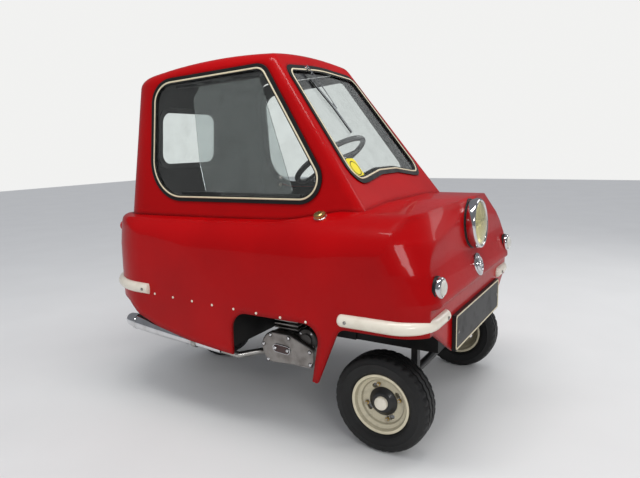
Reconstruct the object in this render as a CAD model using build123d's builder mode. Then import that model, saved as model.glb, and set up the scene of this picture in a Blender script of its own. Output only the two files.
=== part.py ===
from build123d import *
import math
import os

os.makedirs("parts", exist_ok=True)

# A single-seat three-wheeled car. Millimetres, nose towards -Y, the driver's left towards +X, up +Z.

# Shell and glass: depths are measured inwards from the outer skin
WALL = 8.0
GLASS_OUT = 2.0
GLASS_IN = 6.0
PANE_OUT = 9.0
PANE_IN = 12.0
RUBBER_PROUD = 4.0
RUBBER_INSIDE = 12.0
RUBBER_WIDE = 15.0
RUBBER_COVERS = 6.0
CUT_MARGIN = 8.0
DOOR_THICK = 24.0
DOOR_GAP = 5.0

# Body below the belt
HALF_WIDTH = 481.0
NOSE_Y = -672.0
VALANCE_Y = -650.0
TAIL_Y = 664.0
BELT_Z = 671.0
BONNET_Z = 722.0
LEDGE_Z = 463.0
SHOULDER_R = 135.0
NOSE_CORNER_R = 118.0
TAIL_CORNER_R = 252.0
PLAN_TOP_Z = 480.0
TAIL_EDGE_R = 18.0

# Cabin, given at one height and by its leans per millimetre above it
CABIN_Z = 713.0
SCREEN_Y = -411.0
SCREEN_LEAN = 0.743
FRONT_HALF = 351.0
FRONT_LEAN = 0.18
BACK_Y = 612.0
BACK_LEAN = 0.0875
BACK_HALF = 377.0
BACK_HALF_LEAN = 0.072
BACK_CORNER_R = 125.0
PILLAR_R = 24.0
ROOF_Z = 1228.0
ROOF_TOP_Y = 90.0
ROOF_CROWN_R = 2000.0
ROOF_EDGE_R = 44.0

# Wheels
TYRE_R = 150.0
TYRE_WIDTH = 88.0
RIM_R = 92.0
FRONT_AXLE_Y = -490.0
REAR_AXLE_Y = 470.0
TRACK_HALF = 373.0
KINGPIN_X = 292.0
STUB_R = 8.0
KINGPIN_R = 9.0
RUNNING = 0.05

# Tub
SHEET = 8.0
FLOOR_Z = 270.0
BULKHEAD_Y = -310.0
FOOTWELL_Y = -592.0
FOOTWELL_HALF = 207.0
FRONT_DECK_Z = 413.0
RISER_Y = 235.0
ENGINE_BOX_X = -215.0
ENGINE_BOX_BACK = 16.0
ENGINE_BOX_Z = 400.0

# Steering wheel and column
WHEEL_CENTRE = (0.0, -105.0, 850.0)
WHEEL_TILT = 34.0
WHEEL_RIM_R = 138.0
WHEEL_SECTION_R = 10.0
SHAFT_R = 9.0
COLUMN_R = 16.0

# Lamps
HEADLAMP_Z = 645.0
HEADLAMP_FACE_Y = -664.0
HEADLAMP_LEAN = 4.0
HEADLAMP_R = 81.0
HEADLAMP_BACK_R = 73.0
LENS_R = 74.0
LENS_BULGE = 15.5
SIDE_LAMP_X = 387.0
SIDE_LAMP_Z = 519.0
SIDE_LAMP_R = 30.5
BOSS_Z = 507.0
BOSS_R = 38.0
REAR_LAMP_X = 355.0
REAR_LAMP_Y = 606.0
REAR_LAMP_Z = 617.0
REAR_LAMP_R = 24.0

# Number plate, a little off the middle
PLATE_X = 22.0
PLATE_Z = 342.0

# Bumpers
BUMPER_HEIGHT = 38.0
BUMPER_DEPTH = 20.0
FRONT_BUMPER_Z = 416.0
REAR_BUMPER_Z = 419.0

# Door hinges
HINGE_X = 485.0
HINGE_Y = 470.0
HINGE_PIN_R = 4.0
HINGE_HEIGHTS = (370.0, 560.0)


def points(rows):
    """The first two columns of a table: where each corner lies."""
    return [(row[0], row[1]) for row in rows]


def radii(rows):
    """The third column of a table: how far each corner is rounded."""
    return [row[2] for row in rows]


# Side view of the body below the belt: y, z, corner radius
SIDE = [
    (VALANCE_Y + 3, 60, 0),
    (VALANCE_Y, LEDGE_Z, 3),
    (NOSE_Y, LEDGE_Z, 8),
    (NOSE_Y + 14, 510, 150),
    (-638, 580, 150),
    (-627, BONNET_Z + 6, 18),
    (SCREEN_Y, BONNET_Z, 300),
    (-150, BELT_Z + 6, 500),
    (100, BELT_Z, 900),
    (TAIL_Y - 26, BELT_Z - 4, 50),
    (TAIL_Y - 8, 540, 150),
    (TAIL_Y - 2, 430, 150),
    (TAIL_Y - 10, 60, 0),
]

# Nose and tail in plan view at four heights: height, middle of the nose, its corner and the corner's radius,
# corner of the tail and its radius
PLANS = [
    (PLAN_TOP_Z, NOSE_Y - 3, NOSE_Y, NOSE_CORNER_R, TAIL_Y, TAIL_CORNER_R),
    (560.0, -670, -659, 128, TAIL_Y - 1, 254),
    (640.0, -652, -622, 150, TAIL_Y - 8, 262),
    (BONNET_Z + 10, -637, -557, 240, TAIL_Y - 40, 285),
]

# Front view of the body: x, z, corner radius
FRONT = [
    (-HALF_WIDTH + 3, 60, 0),
    (-HALF_WIDTH - 3, 430, 900),
    (-HALF_WIDTH + 3, 704, SHOULDER_R),
    (0, 730, 2500),
    (HALF_WIDTH - 3, 704, SHOULDER_R),
    (HALF_WIDTH + 3, 430, 900),
    (HALF_WIDTH - 3, 60, 0),
]

# Lower edge of the shell in side view, behind and in front of the foot: y, z, corner radius
LOWER_EDGE = [
    (-720, 40, 0),
    (-720, 388, 0),
    (-396, 388, 34),
    (-322, 208, 6),
    (-255, 226, 60),
    (40, 246, 300),
    (182, 259, 300),
    (337, 285, 200),
    (440, 320, 60),
    (500, 362, 60),
    (720, 380, 0),
    (720, 40, 0),
]

# Panel below the nose, that carries the number plate: x, z
VALANCE = [(-226, 283), (226, 283), (456, 420), (-456, 420)]

# Opening for the engine in the right flank: y, z, corner radius
ENGINE_OPENING = [
    (2, 40, 0),
    (-5, 389, 62),
    (-336, 389, 50),
    (-300, 190, 0),
    (-290, 40, 0),
]

# Side windows, sliding pane, windscreen and rear window: across, z, corner radius
SIDE_WINDOW = [
    (430, 737, 130),
    (424, 1134, 72),
    (-14, 1163, 42),
    (-308, 742, 60),
]
SLIDING_PANE = [
    (193, 756, 10),
    (226, 860, 200),
    (262, 1076, 20),
    (236, 1118, 10),
    (0, 1132, 10),
    (-164, 756, 10),
]
SCREEN = [
    (-224, 1158, 34),
    (0, 1174, 900),
    (224, 1158, 34),
    (270, 799, 40),
    (196, 803, 120),
    (70, 820, 140),
    (-70, 820, 140),
    (-196, 803, 120),
    (-270, 799, 40),
]
REAR_WINDOW = [
    (-168, 838, 48),
    (-166, 1056, 48),
    (166, 1056, 48),
    (168, 838, 48),
]

# Door outline in side view: y, z, corner radius
DOOR = [
    (462, 318, 60),
    (458, 1178, 92),
    (-25, 1184, 40),
    (-317, 786, 90),
    (-326, 318, 60),
]
DOOR_NEAR = 236.0
DOOR_FAR = 560.0


def body_plan(row, inset):
    """Draws the plan view of the body at one height."""
    z, middle_y, nose_y, nose_r, tail_y, tail_r = row
    corners = [
        (0, middle_y, 900),
        (HALF_WIDTH - 6, nose_y, nose_r),
        (HALF_WIDTH + 4, 0, 6000),
        (HALF_WIDTH - 12, tail_y, tail_r),
        (-HALF_WIDTH + 12, tail_y, tail_r),
        (-HALF_WIDTH - 4, 0, 6000),
        (-HALF_WIDTH + 6, nose_y, nose_r),
    ]
    with BuildSketch(Plane.XY) as outline:
        with BuildLine():
            FilletPolyline(points(corners), radius=radii(corners), close=True)
        make_face()
        if inset:
            offset(amount=-inset)
    return outline.sketch


def cabin_plan(z, inset):
    """Plan view of the cabin at one height: x, y, corner radius."""
    up = z - CABIN_Z
    front_y = SCREEN_Y + SCREEN_LEAN * up + inset * math.hypot(1, SCREEN_LEAN)
    front_half = FRONT_HALF - FRONT_LEAN * up - inset * 1.02
    back_y = BACK_Y - BACK_LEAN * up - inset
    back_half = BACK_HALF - BACK_HALF_LEAN * up - inset
    return [
        (-front_half, front_y, 0),
        (front_half, front_y, 0),
        (back_half, back_y, BACK_CORNER_R - inset),
        (-back_half, back_y, BACK_CORNER_R - inset),
    ]


def hull(inset):
    """The solid form of the body, moved inwards by inset on every side."""
    with BuildPart() as below:
        with BuildSketch(Plane.YZ):
            with BuildLine():
                FilletPolyline(points(SIDE), radius=radii(SIDE), close=True)
            make_face()
            if inset:
                offset(amount=-inset)
        extrude(amount=HALF_WIDTH + 60, both=True)
        with BuildPart(mode=Mode.PRIVATE) as footprint:
            with BuildSketch(Plane.XY):
                add(body_plan(PLANS[0], inset))
            extrude(amount=PLAN_TOP_Z)
            for row in PLANS:
                with BuildSketch(Plane.XY.offset(row[0])):
                    add(body_plan(row, inset))
            loft(ruled=True)
        add(footprint.part, mode=Mode.INTERSECT)
        with BuildSketch(Plane.XZ):
            with BuildLine():
                FilletPolyline(points(FRONT), radius=radii(FRONT), close=True)
            make_face()
            if inset:
                offset(amount=-inset)
        extrude(amount=900, both=True, mode=Mode.INTERSECT)
        places = [Vector(hand * 410, 553, 668) for hand in (1, -1)]
        fillet([min(below.edges(), key=lambda edge: (edge.center() - place).length) for place in places],
               TAIL_EDGE_R - inset)
    with BuildPart() as above:
        for z in (600.0, 1270.0):
            rows = cabin_plan(z, inset)
            with BuildSketch(Plane.XY.offset(z)):
                with BuildLine():
                    FilletPolyline(points(rows), radius=radii(rows), close=True)
                make_face()
        loft(ruled=True)
        with Locations((0, ROOF_TOP_Y, ROOF_Z - ROOF_CROWN_R)):
            Sphere(ROOF_CROWN_R - inset, rotation=(90, 0, 0), mode=Mode.INTERSECT)
        roof_edges = above.edges().filter_by(lambda edge: edge.center().Z > 1120)
        fillet(roof_edges.filter_by(lambda edge: edge.center().Y > 0), ROOF_EDGE_R - inset)
        screen_edges = above.edges().filter_by(lambda edge: edge.center().Y < 0 and edge.center().Z > 700)
        fillet(screen_edges.filter_by(lambda edge: edge.length > 300), PILLAR_R - inset * 0.8)
    with BuildPart() as whole:
        add(below.part)
        add(above.part)
    return whole.part


def window_prism(rows, plane, grow, near, far):
    """A window's outline, grown by a margin, as a block between two distances along the plane's normal."""
    with BuildPart() as prism:
        with BuildSketch(plane.offset(near)):
            with BuildLine():
                FilletPolyline(points(rows), radius=radii(rows), close=True)
            make_face()
            if grow:
                offset(amount=grow)
        extrude(amount=far - near)
    return prism.part


def band(outer, inner):
    """The layer of the body between two depths."""
    with BuildPart() as layer:
        add(HULLS[outer])
        add(HULLS[inner], mode=Mode.SUBTRACT)
    return layer.part


DEPTHS = (-RUBBER_PROUD, 0.0, GLASS_OUT, GLASS_IN, WALL, PANE_OUT, PANE_IN)
HULLS = {depth: hull(depth) for depth in DEPTHS}
SKIN = band(0.0, WALL)
GLASS_LAYER = band(GLASS_OUT, GLASS_IN)
RUBBER_LAYER = band(-RUBBER_PROUD, RUBBER_INSIDE)
PANE_LAYER = band(PANE_OUT, PANE_IN)

# Each window: name, outline, plane it is seen in, nearest and farthest distance along that plane's normal
WINDOWS = {
    "right": (SIDE_WINDOW, Plane.YZ, -560, -200),
    "screen": (SCREEN, Plane.XZ, 0, 560),
    "rear": (REAR_WINDOW, Plane.XZ, -700, -450),
}


def glass(name):
    """A window's pane, its edge set in the rubber."""
    rows, plane, near, far = WINDOWS[name]
    with BuildPart() as pane:
        add(GLASS_LAYER)
        add(window_prism(rows, plane, 2.0, near, far), mode=Mode.INTERSECT)
    return pane.part


def rubber(name, pane):
    """The rubber section that grips the shell's edge on its outside and a window's pane on its inside."""
    rows, plane, near, far = WINDOWS[name]
    with BuildPart() as seal:
        add(RUBBER_LAYER)
        add(window_prism(rows, plane, RUBBER_WIDE, near, far), mode=Mode.INTERSECT)
        add(window_prism(rows, plane, -RUBBER_COVERS, near, far), mode=Mode.SUBTRACT)
        add(body_shell.part, mode=Mode.SUBTRACT)
        add(pane, mode=Mode.SUBTRACT)
    return seal.part


# Body shell: one moulding, open below, with its windows, door and engine opening cut
with BuildPart() as body_shell:
    add(SKIN)
    with BuildSketch(Plane.YZ):
        with BuildLine():
            FilletPolyline(points(LOWER_EDGE), radius=radii(LOWER_EDGE), close=True)
        make_face()
    underside = extrude(amount=HALF_WIDTH + 60, both=True, mode=Mode.PRIVATE)
    with BuildPart(mode=Mode.PRIVATE) as below_edge:
        add(underside)
        with BuildSketch(Plane.XZ.offset(600)):
            Polygon(*VALANCE, align=None)
        extrude(amount=160, mode=Mode.SUBTRACT)
    add(below_edge.part, mode=Mode.SUBTRACT)
    with BuildSketch(Plane.YZ.offset(-560)):
        with BuildLine():
            FilletPolyline(points(ENGINE_OPENING), radius=radii(ENGINE_OPENING), close=True)
        make_face()
    extrude(amount=200, mode=Mode.SUBTRACT)
    for rows, plane, near, far in WINDOWS.values():
        add(window_prism(rows, plane, CUT_MARGIN, near, far), mode=Mode.SUBTRACT)
    add(window_prism(DOOR, Plane.YZ, DOOR_GAP, DOOR_NEAR, DOOR_FAR), mode=Mode.SUBTRACT)
body_shell.part.label = "body_shell"
export_step(body_shell.part, "parts/body_shell.step")



def cabin_void(inset):
    """The plain form of the cabin, moved inwards by inset, its top edges left sharp."""
    with BuildPart() as void:
        for z in (600.0, 1270.0):
            rows = cabin_plan(z, inset)
            with BuildSketch(Plane.XY.offset(z)):
                with BuildLine():
                    FilletPolyline(points(rows), radius=radii(rows), close=True)
                make_face()
        loft(ruled=True)
    return void.part


# Door: as thick as the whole panel, its inner face following the cabin above the belt and flat below it,
# and thinned round the window to a flange that the rubber grips
with BuildPart() as door_inside_low:
    with BuildSketch(Plane.YZ):
        with Locations((60, BELT_Z - DOOR_THICK - 250)):
            Rectangle(1000, 500)
    extrude(amount=HALF_WIDTH - 6 - DOOR_THICK)
with BuildPart() as door_panel:
    add(HULLS[0.0])
    add(window_prism(DOOR, Plane.YZ, 0, DOOR_NEAR, DOOR_FAR), mode=Mode.INTERSECT)
    add(cabin_void(DOOR_THICK), mode=Mode.SUBTRACT)
    add(door_inside_low.part, mode=Mode.SUBTRACT)
    add(window_prism(SIDE_WINDOW, Plane.YZ, CUT_MARGIN, DOOR_NEAR, DOOR_FAR), mode=Mode.SUBTRACT)
    with BuildPart(mode=Mode.PRIVATE) as rebate:
        add(cabin_void(WALL))
        add(window_prism(SIDE_WINDOW, Plane.YZ, RUBBER_WIDE + 1, DOOR_NEAR, DOOR_FAR), mode=Mode.INTERSECT)
    add(rebate.part, mode=Mode.SUBTRACT)
door_panel.part.label = "door_panel"
export_step(door_panel.part, "parts/door_panel.step")

# Glass and rubber of the three windows in the shell
NAMES = {"right": "right_window", "screen": "windscreen", "rear": "rear_window"}
PANES = {}
SEALS = {}
for key, name in NAMES.items():
    window_pane = glass(key)
    PANES[key] = window_pane
    window_pane.label = name + "_glass"
    export_step(window_pane, "parts/" + name + "_glass.step")
    seal = rubber(key, window_pane)
    SEALS[key] = seal
    seal.label = name + "_rubber"
    export_step(seal, "parts/" + name + "_rubber.step")

# Glass and rubber of the door, the same pieces for the other hand
for name, piece in (("door_window_glass", PANES["right"]), ("door_window_rubber", SEALS["right"])):
    with BuildPart() as other_hand:
        mirror(piece, about=Plane.YZ)
    other_hand.part.label = name
    export_step(other_hand.part, "parts/" + name + ".step")

# Sliding pane inside the right window, on a rail below and under a rail above
with BuildPart() as sliding_pane:
    add(PANE_LAYER)
    add(window_prism(SLIDING_PANE, Plane.YZ, 0, -560, -200), mode=Mode.INTERSECT)
sliding_pane.part.label = "sliding_pane"
export_step(sliding_pane.part, "parts/sliding_pane.step")
RAILS = [
    [(300, 745, 0), (300, 756, 0), (-200, 756, 0), (-200, 745, 0)],
    [(340, 1117, 0), (340, 1127, 0), (-10, 1143, 0), (-10, 1132, 0), (236, 1118, 0)],
]
with BuildPart() as pane_rails:
    for rows in RAILS:
        with BuildPart(mode=Mode.PRIVATE) as rail:
            add(HULLS[GLASS_IN])
            add(HULLS[PANE_IN], mode=Mode.SUBTRACT)
            add(window_prism(rows, Plane.YZ, 0, -560, -200), mode=Mode.INTERSECT)
        add(rail.part)
    add(SEALS["right"], mode=Mode.SUBTRACT)
    add(sliding_pane.part, mode=Mode.SUBTRACT)
pane_rails.part.label = "pane_rails"
export_step(pane_rails.part, "parts/pane_rails.step")


def cabin_space(grow):
    """The room above the tub's sheet: main floor, footwell, decks over the wheels, and the box over the engine."""
    with BuildPart() as room:
        with BuildSketch(Plane.YZ):
            Polygon((BULKHEAD_Y - grow, 640), (BULKHEAD_Y - grow, FLOOR_Z - grow), (RISER_Y + grow, FLOOR_Z - grow),
                    (RISER_Y + 10 + grow, 348 - grow), (690, 408 - grow), (690, 640), align=None)
        extrude(amount=HALF_WIDTH + 20, both=True)
        with BuildSketch(Plane.YZ):
            Polygon((BULKHEAD_Y + 5, 640), (BULKHEAD_Y + 5, FRONT_DECK_Z - grow),
                    (-700, FRONT_DECK_Z - grow), (-700, 640), align=None)
        extrude(amount=HALF_WIDTH + 20, both=True)
        with BuildSketch(Plane.YZ):
            Polygon((BULKHEAD_Y + 5, 640), (BULKHEAD_Y + 5, FLOOR_Z - grow),
                    (FOOTWELL_Y - grow, FLOOR_Z - grow), (FOOTWELL_Y - grow, 640), align=None)
        extrude(amount=FOOTWELL_HALF + grow, both=True)
        with BuildSketch(Plane.XY.offset(100)):
            with Locations((ENGINE_BOX_X - 300 - grow, (BULKHEAD_Y + ENGINE_BOX_BACK) / 2 - 50)):
                Rectangle(600, ENGINE_BOX_BACK - BULKHEAD_Y + 100 - 2 * grow)
        extrude(amount=ENGINE_BOX_Z - 100 - grow, mode=Mode.SUBTRACT)
    return room.part


# Tub: floor, footwell between the front wheels, decks over the wheels and the box over the engine
with BuildPart() as tub:
    add(cabin_space(SHEET))
    add(HULLS[WALL], mode=Mode.INTERSECT)
    add(cabin_space(0), mode=Mode.SUBTRACT)
    with Locations((HALF_WIDTH - 20, 66, 400)):
        Box(60, 830, 400, mode=Mode.SUBTRACT)
tub.part.label = "tub"
export_step(tub.part, "parts/tub.step")


def export(piece, label):
    """Writes one finished piece under its name."""
    piece.label = label
    export_step(piece, "parts/" + label + ".step")


# Headlamp, leaning back a little: a cup that widens from the nose, its chrome rim, and the domed lens
HEADLAMP = Plane(origin=(0, HEADLAMP_FACE_Y, HEADLAMP_Z), x_dir=(1, 0, 0),
                 z_dir=(0, -math.cos(math.radians(HEADLAMP_LEAN)), math.sin(math.radians(HEADLAMP_LEAN))))
with BuildPart() as headlamp_rim:
    with BuildSketch(HEADLAMP.offset(-60)):
        Circle(HEADLAMP_BACK_R)
    extrude(amount=34)
    with BuildSketch(HEADLAMP.offset(-26)):
        Circle(HEADLAMP_BACK_R)
    with BuildSketch(HEADLAMP.offset(-9)):
        Circle(HEADLAMP_R)
    loft(ruled=True)
    with BuildSketch(HEADLAMP.offset(-9)):
        Circle(HEADLAMP_R)
    extrude(amount=9)
    fillet(headlamp_rim.faces().filter_by(GeomType.PLANE).sort_by(Axis.Y)[0].edges(), 4)
    with BuildSketch(HEADLAMP):
        Circle(LENS_R + 0.3)
    extrude(amount=-6, mode=Mode.SUBTRACT)
    add(HULLS[0.0], mode=Mode.SUBTRACT)
export(headlamp_rim.part, "headlamp_rim")
lens_sphere_r = (LENS_R ** 2 + LENS_BULGE ** 2) / (2 * LENS_BULGE)
with BuildPart() as headlamp_lens:
    with BuildSketch(HEADLAMP.offset(-6)):
        Circle(LENS_R)
    extrude(amount=6 + LENS_BULGE)
    with Locations(HEADLAMP.offset(LENS_BULGE - lens_sphere_r)):
        Sphere(lens_sphere_r, mode=Mode.INTERSECT)
export(headlamp_lens.part, "headlamp_lens")

# Side lamps, and the round boss below the headlamp: places across, height, radius, how far each stands out
LAMPS = [
    ("side_lamps", (SIDE_LAMP_X, -SIDE_LAMP_X), SIDE_LAMP_Z, SIDE_LAMP_R, 9.0),
    ("nose_boss", (0.0,), BOSS_Z, BOSS_R, 4.0),
]
for name, places, z, r, stands in LAMPS:
    with BuildPart() as lamp:
        with BuildSketch(Plane.XZ.offset(640)):
            with Locations([(x, z) for x in places]):
                Circle(r)
        extrude(amount=26 + stands)
        fillet(lamp.faces().filter_by(Axis.Y).group_by(Axis.Y)[0].edges(), stands * 0.6)
        add(HULLS[0.0], mode=Mode.SUBTRACT)
    export(lamp.part, name)

# Number plate, blank, hung on the valance under the ledge
with BuildPart() as number_plate:
    with Locations((PLATE_X, VALANCE_Y - 6, PLATE_Z)):
        Box(520, 12, 111)
    add(HULLS[0.0], mode=Mode.SUBTRACT)
export(number_plate.part, "number_plate")

# Bumpers: a half-round strip round each corner: path of x and y, its bend, height
FRONT_PATH = [(300, VALANCE_Y + 4), (HALF_WIDTH - 3, VALANCE_Y + 4), (HALF_WIDTH - 6, -405)]
REAR_PATH = [(150, TAIL_Y - 4), (HALF_WIDTH - 11, TAIL_Y - 4), (HALF_WIDTH - 8, 372)]
REAR_PATH_BY_DOOR = [(150, TAIL_Y - 4), (HALF_WIDTH - 14, TAIL_Y - 4), (HALF_WIDTH - 14, 500)]
BUMPERS = {
    "front_bumpers": [(1, FRONT_PATH, 95, FRONT_BUMPER_Z), (-1, FRONT_PATH, 95, FRONT_BUMPER_Z)],
    "rear_bumpers": [(1, REAR_PATH_BY_DOOR, 150, REAR_BUMPER_Z), (-1, REAR_PATH, 245, REAR_BUMPER_Z)],
}
for name, strips in BUMPERS.items():
    with BuildPart() as bumpers:
        for hand, corners, bend, z in strips:
            with BuildLine(Plane.XY.offset(z)) as path:
                FilletPolyline([(hand * x, y) for x, y in corners], radius=bend)
            start = path.line @ 0
            away = -1 if start.Y < 0 else 1
            with BuildSketch(Plane(origin=start, x_dir=(0, away, 0), z_dir=path.line % 0)):
                with BuildLine():
                    half = BUMPER_HEIGHT / 2
                    Line((0, -half), (0, half))
                    ThreePointArc((0, half), (BUMPER_DEPTH, 0), (0, -half))
                make_face()
            sweep(path=path.line)
        add(HULLS[0.0], mode=Mode.SUBTRACT)
    export(bumpers.part, name)

# Rear lamps on the tail's corners, facing outwards
with BuildPart() as rear_lamps:
    for hand in (1, -1):
        lamp_plane = Plane(origin=(hand * REAR_LAMP_X, REAR_LAMP_Y, REAR_LAMP_Z), x_dir=(0, 0, 1),
                           z_dir=(hand * 0.6, 0.8, 0))
        with BuildPart(mode=Mode.PRIVATE) as rear_lamp:
            with BuildSketch(lamp_plane.offset(-40)):
                Circle(REAR_LAMP_R)
            extrude(amount=56)
            fillet(rear_lamp.faces().filter_by(GeomType.PLANE).sort_by(Axis.Y)[-1].edges(), 9)
        add(rear_lamp.part)
    add(HULLS[0.0], mode=Mode.SUBTRACT)
export(rear_lamps.part, "rear_lamps")

# Filler cap on the right shoulder
with BuildPart() as filler_cap:
    with BuildSketch(Plane.XY.offset(640)):
        with Locations((-405, -300)):
            Circle(19)
    extrude(amount=58)
    fillet(filler_cap.faces().sort_by(Axis.Z)[-1].edges(), 5)
    add(HULLS[0.0], mode=Mode.SUBTRACT)
export(filler_cap.part, "filler_cap")

# Wiper: spindle at the roof's edge, arm down the glass, blade across its end
SCREEN_PLANE = Plane(origin=(0, SCREEN_Y, CABIN_Z), x_dir=(1, 0, 0), z_dir=(0, -1, SCREEN_LEAN))
with BuildPart() as wiper:
    with BuildSketch(SCREEN_PLANE.offset(RUBBER_PROUD - 1)):
        with Locations((-104, 566)):
            Circle(9)
    extrude(amount=11)
    with BuildSketch(SCREEN_PLANE.offset(8)):
        with BuildLine():
            Polyline((-104, 566), (-92, 398))
        trace(line_width=6)
    extrude(amount=5)
    with BuildSketch(SCREEN_PLANE.offset(0.3)):
        with BuildLine():
            Polyline((-122, 520), (-92, 398), (-84, 290))
        trace(line_width=7)
    extrude(amount=9)
    add(HULLS[0.0], mode=Mode.SUBTRACT)
    add(SEALS["screen"], mode=Mode.SUBTRACT)
export(wiper.part, "wiper")

# Seat
with BuildPart() as seat:
    with BuildSketch(Plane.YZ):
        with BuildLine():
            FilletPolyline((-70, FLOOR_Z, 0), (-70, 400, 0), (170, 388, 0), (268, 715, 0), (330, 715, 0), (238, 395, 0),
                           (RISER_Y - 1, FLOOR_Z, 0), radius=[1, 30, 25, 25, 25, 10, 1], close=True)
        make_face()
    extrude(amount=190, both=True)
    fillet(seat.edges().filter_by(Axis.X, reverse=True).group_by(Axis.X)[0], 18)
    fillet(seat.edges().filter_by(Axis.X, reverse=True).group_by(Axis.X)[-1], 18)
export(seat.part, "seat")


# Wheels, as a section turned round the axle: across, radius, corner radius; outboard is positive
TYRE_SECTION = [
    (-29, 86, 0), (-29, 93, 0), (-42, 102, 6), (-TYRE_WIDTH / 2, 122, 20), (-40, 144, 8), (-22, TYRE_R, 30),
    (22, TYRE_R, 30), (40, 144, 8), (TYRE_WIDTH / 2, 122, 20), (42, 102, 6), (29, 93, 0), (29, 86, 0),
]
RIM_SECTION = [
    (-34, 92, 1), (-30, 92, 0), (-29, 86, 0), (-18, 86, 0), (-14, 76, 4), (14, 76, 4), (18, 86, 0), (29, 86, 0),
    (30, 92, 0), (34, 92, 1), (34, 84, 3), (22, 79, 3), (16, 70, 4), (9, 66, 4), (6, 40, 4), (12, 28, 4), (14, 19, 0),
    (14, 0, 0), (-30, 0, 0), (-30, 48, 3), (-4, 48, 2), (-4, 60, 3), (-10, 68, 3), (-22, 79, 3), (-34, 84, 3),
]
WHEELS = [
    ("front_left", 1, TRACK_HALF, FRONT_AXLE_Y),
    ("front_right", -1, -TRACK_HALF, FRONT_AXLE_Y),
    ("rear", -1, 0.0, REAR_AXLE_Y),
]
for name, hand, x, y in WHEELS:
    section_plane = Plane(origin=(x, y, TYRE_R), x_dir=(hand, 0, 0), z_dir=(0, -hand, 0))
    axle = Axis((x, y, TYRE_R), (1, 0, 0))
    with BuildPart() as tyre:
        with BuildSketch(section_plane):
            with BuildLine():
                FilletPolyline(points(TYRE_SECTION), radius=radii(TYRE_SECTION), close=True)
            make_face()
        revolve(axis=axle)
    export(tyre.part, "tyre_" + name)
    with BuildPart() as rim:
        with BuildSketch(section_plane):
            with BuildLine():
                FilletPolyline(points(RIM_SECTION), radius=radii(RIM_SECTION), close=True)
            make_face()
        revolve(axis=axle)
        face_plane = Plane(origin=(x, y, TYRE_R), x_dir=(0, 1, 0), z_dir=(hand, 0, 0))
        if name == "rear":
            with BuildSketch(face_plane.offset(-60)):
                Circle(STUB_R + RUNNING)
            extrude(amount=120, mode=Mode.SUBTRACT)
        else:
            with BuildSketch(face_plane.offset(-60)):
                Circle(STUB_R + RUNNING)
            extrude(amount=71, mode=Mode.SUBTRACT)
            with BuildSketch(face_plane.offset(14)):
                Circle(17)
            extrude(amount=9)
            fillet(rim.faces().filter_by(GeomType.PLANE).filter_by(lambda f: abs(f.area - math.pi * 17 ** 2) < 5).edges(), 3)
        with BuildSketch(face_plane.offset(-4)):
            with PolarLocations(52, 4, start_angle=30):
                SlotOverall(21, 14, rotation=90)
        extrude(amount=30, mode=Mode.SUBTRACT)
    export(rim.part, "rim_" + name)

# Front axle: tube, its yokes with the kingpins, and two hangers up to the footwell
KNUCKLE_LOW = 122.0
KNUCKLE_HIGH = 178.0
with BuildPart() as front_axle:
    with BuildSketch(Plane.YZ):
        with Locations((FRONT_AXLE_Y, TYRE_R)):
            Circle(14)
    extrude(amount=254, both=True)
    for hand in (1, -1):
        with Locations((hand * 256, FRONT_AXLE_Y, TYRE_R)):
            Box(12, 30, 84)
        for z in (KNUCKLE_HIGH + 0.3 + 6.85, KNUCKLE_LOW - 0.3 - 6.85):
            with Locations((hand * 278, FRONT_AXLE_Y, z)):
                Box(56, 28, 13.7)
        with Locations((hand * KINGPIN_X, FRONT_AXLE_Y, TYRE_R)):
            Cylinder(KINGPIN_R, 84)
        with Locations((hand * 120, FRONT_AXLE_Y, (TYRE_R + FLOOR_Z - SHEET) / 2)):
            Box(26, 22, FLOOR_Z - SHEET - TYRE_R)
export(front_axle.part, "front_axle")

# Knuckles: sleeve on the kingpin, stub for the wheel, and the steering arm
for name, hand in (("knuckle_left", 1), ("knuckle_right", -1)):
    with BuildPart() as knuckle:
        with BuildSketch(Plane.XY.offset(KNUCKLE_LOW)):
            with Locations((hand * KINGPIN_X, FRONT_AXLE_Y)):
                Circle(15)
        extrude(amount=KNUCKLE_HIGH - KNUCKLE_LOW)
        stub_plane = Plane(origin=(hand * KINGPIN_X, FRONT_AXLE_Y, TYRE_R), x_dir=(0, 1, 0), z_dir=(hand, 0, 0))
        with BuildSketch(stub_plane):
            Circle(12)
        extrude(amount=TRACK_HALF - KINGPIN_X - 30.3)
        with BuildSketch(stub_plane):
            Circle(STUB_R)
        extrude(amount=TRACK_HALF - KINGPIN_X + 10)
        with Locations((hand * (KINGPIN_X - 4), FRONT_AXLE_Y + 36, KNUCKLE_LOW + 6)):
            Box(14, 60, 12)
        with BuildSketch(Plane.XY.offset(KNUCKLE_LOW)):
            with Locations((hand * KINGPIN_X, FRONT_AXLE_Y)):
                Circle(KINGPIN_R + RUNNING)
        extrude(amount=KNUCKLE_HIGH - KNUCKLE_LOW, mode=Mode.SUBTRACT)
    export(knuckle.part, name)

# Rear fork: two legs under the deck and the axle between them
with BuildPart() as rear_fork:
    for hand in (1, -1):
        with BuildSketch(Plane.YZ.offset(hand * 66 - 4)):
            with BuildLine():
                FilletPolyline((REAR_AXLE_Y - 20, 130, 0), (REAR_AXLE_Y + 20, 130, 0), (REAR_AXLE_Y + 60, 420, 0),
                               (REAR_AXLE_Y - 60, 420, 0), radius=[18, 18, 0, 0], close=True)
            make_face()
        extrude(amount=8)
    with BuildSketch(Plane.YZ):
        with Locations((REAR_AXLE_Y, TYRE_R)):
            Circle(STUB_R)
    extrude(amount=78, both=True)
    add(cabin_space(SHEET), mode=Mode.SUBTRACT)
export(rear_fork.part, "rear_fork")

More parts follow.
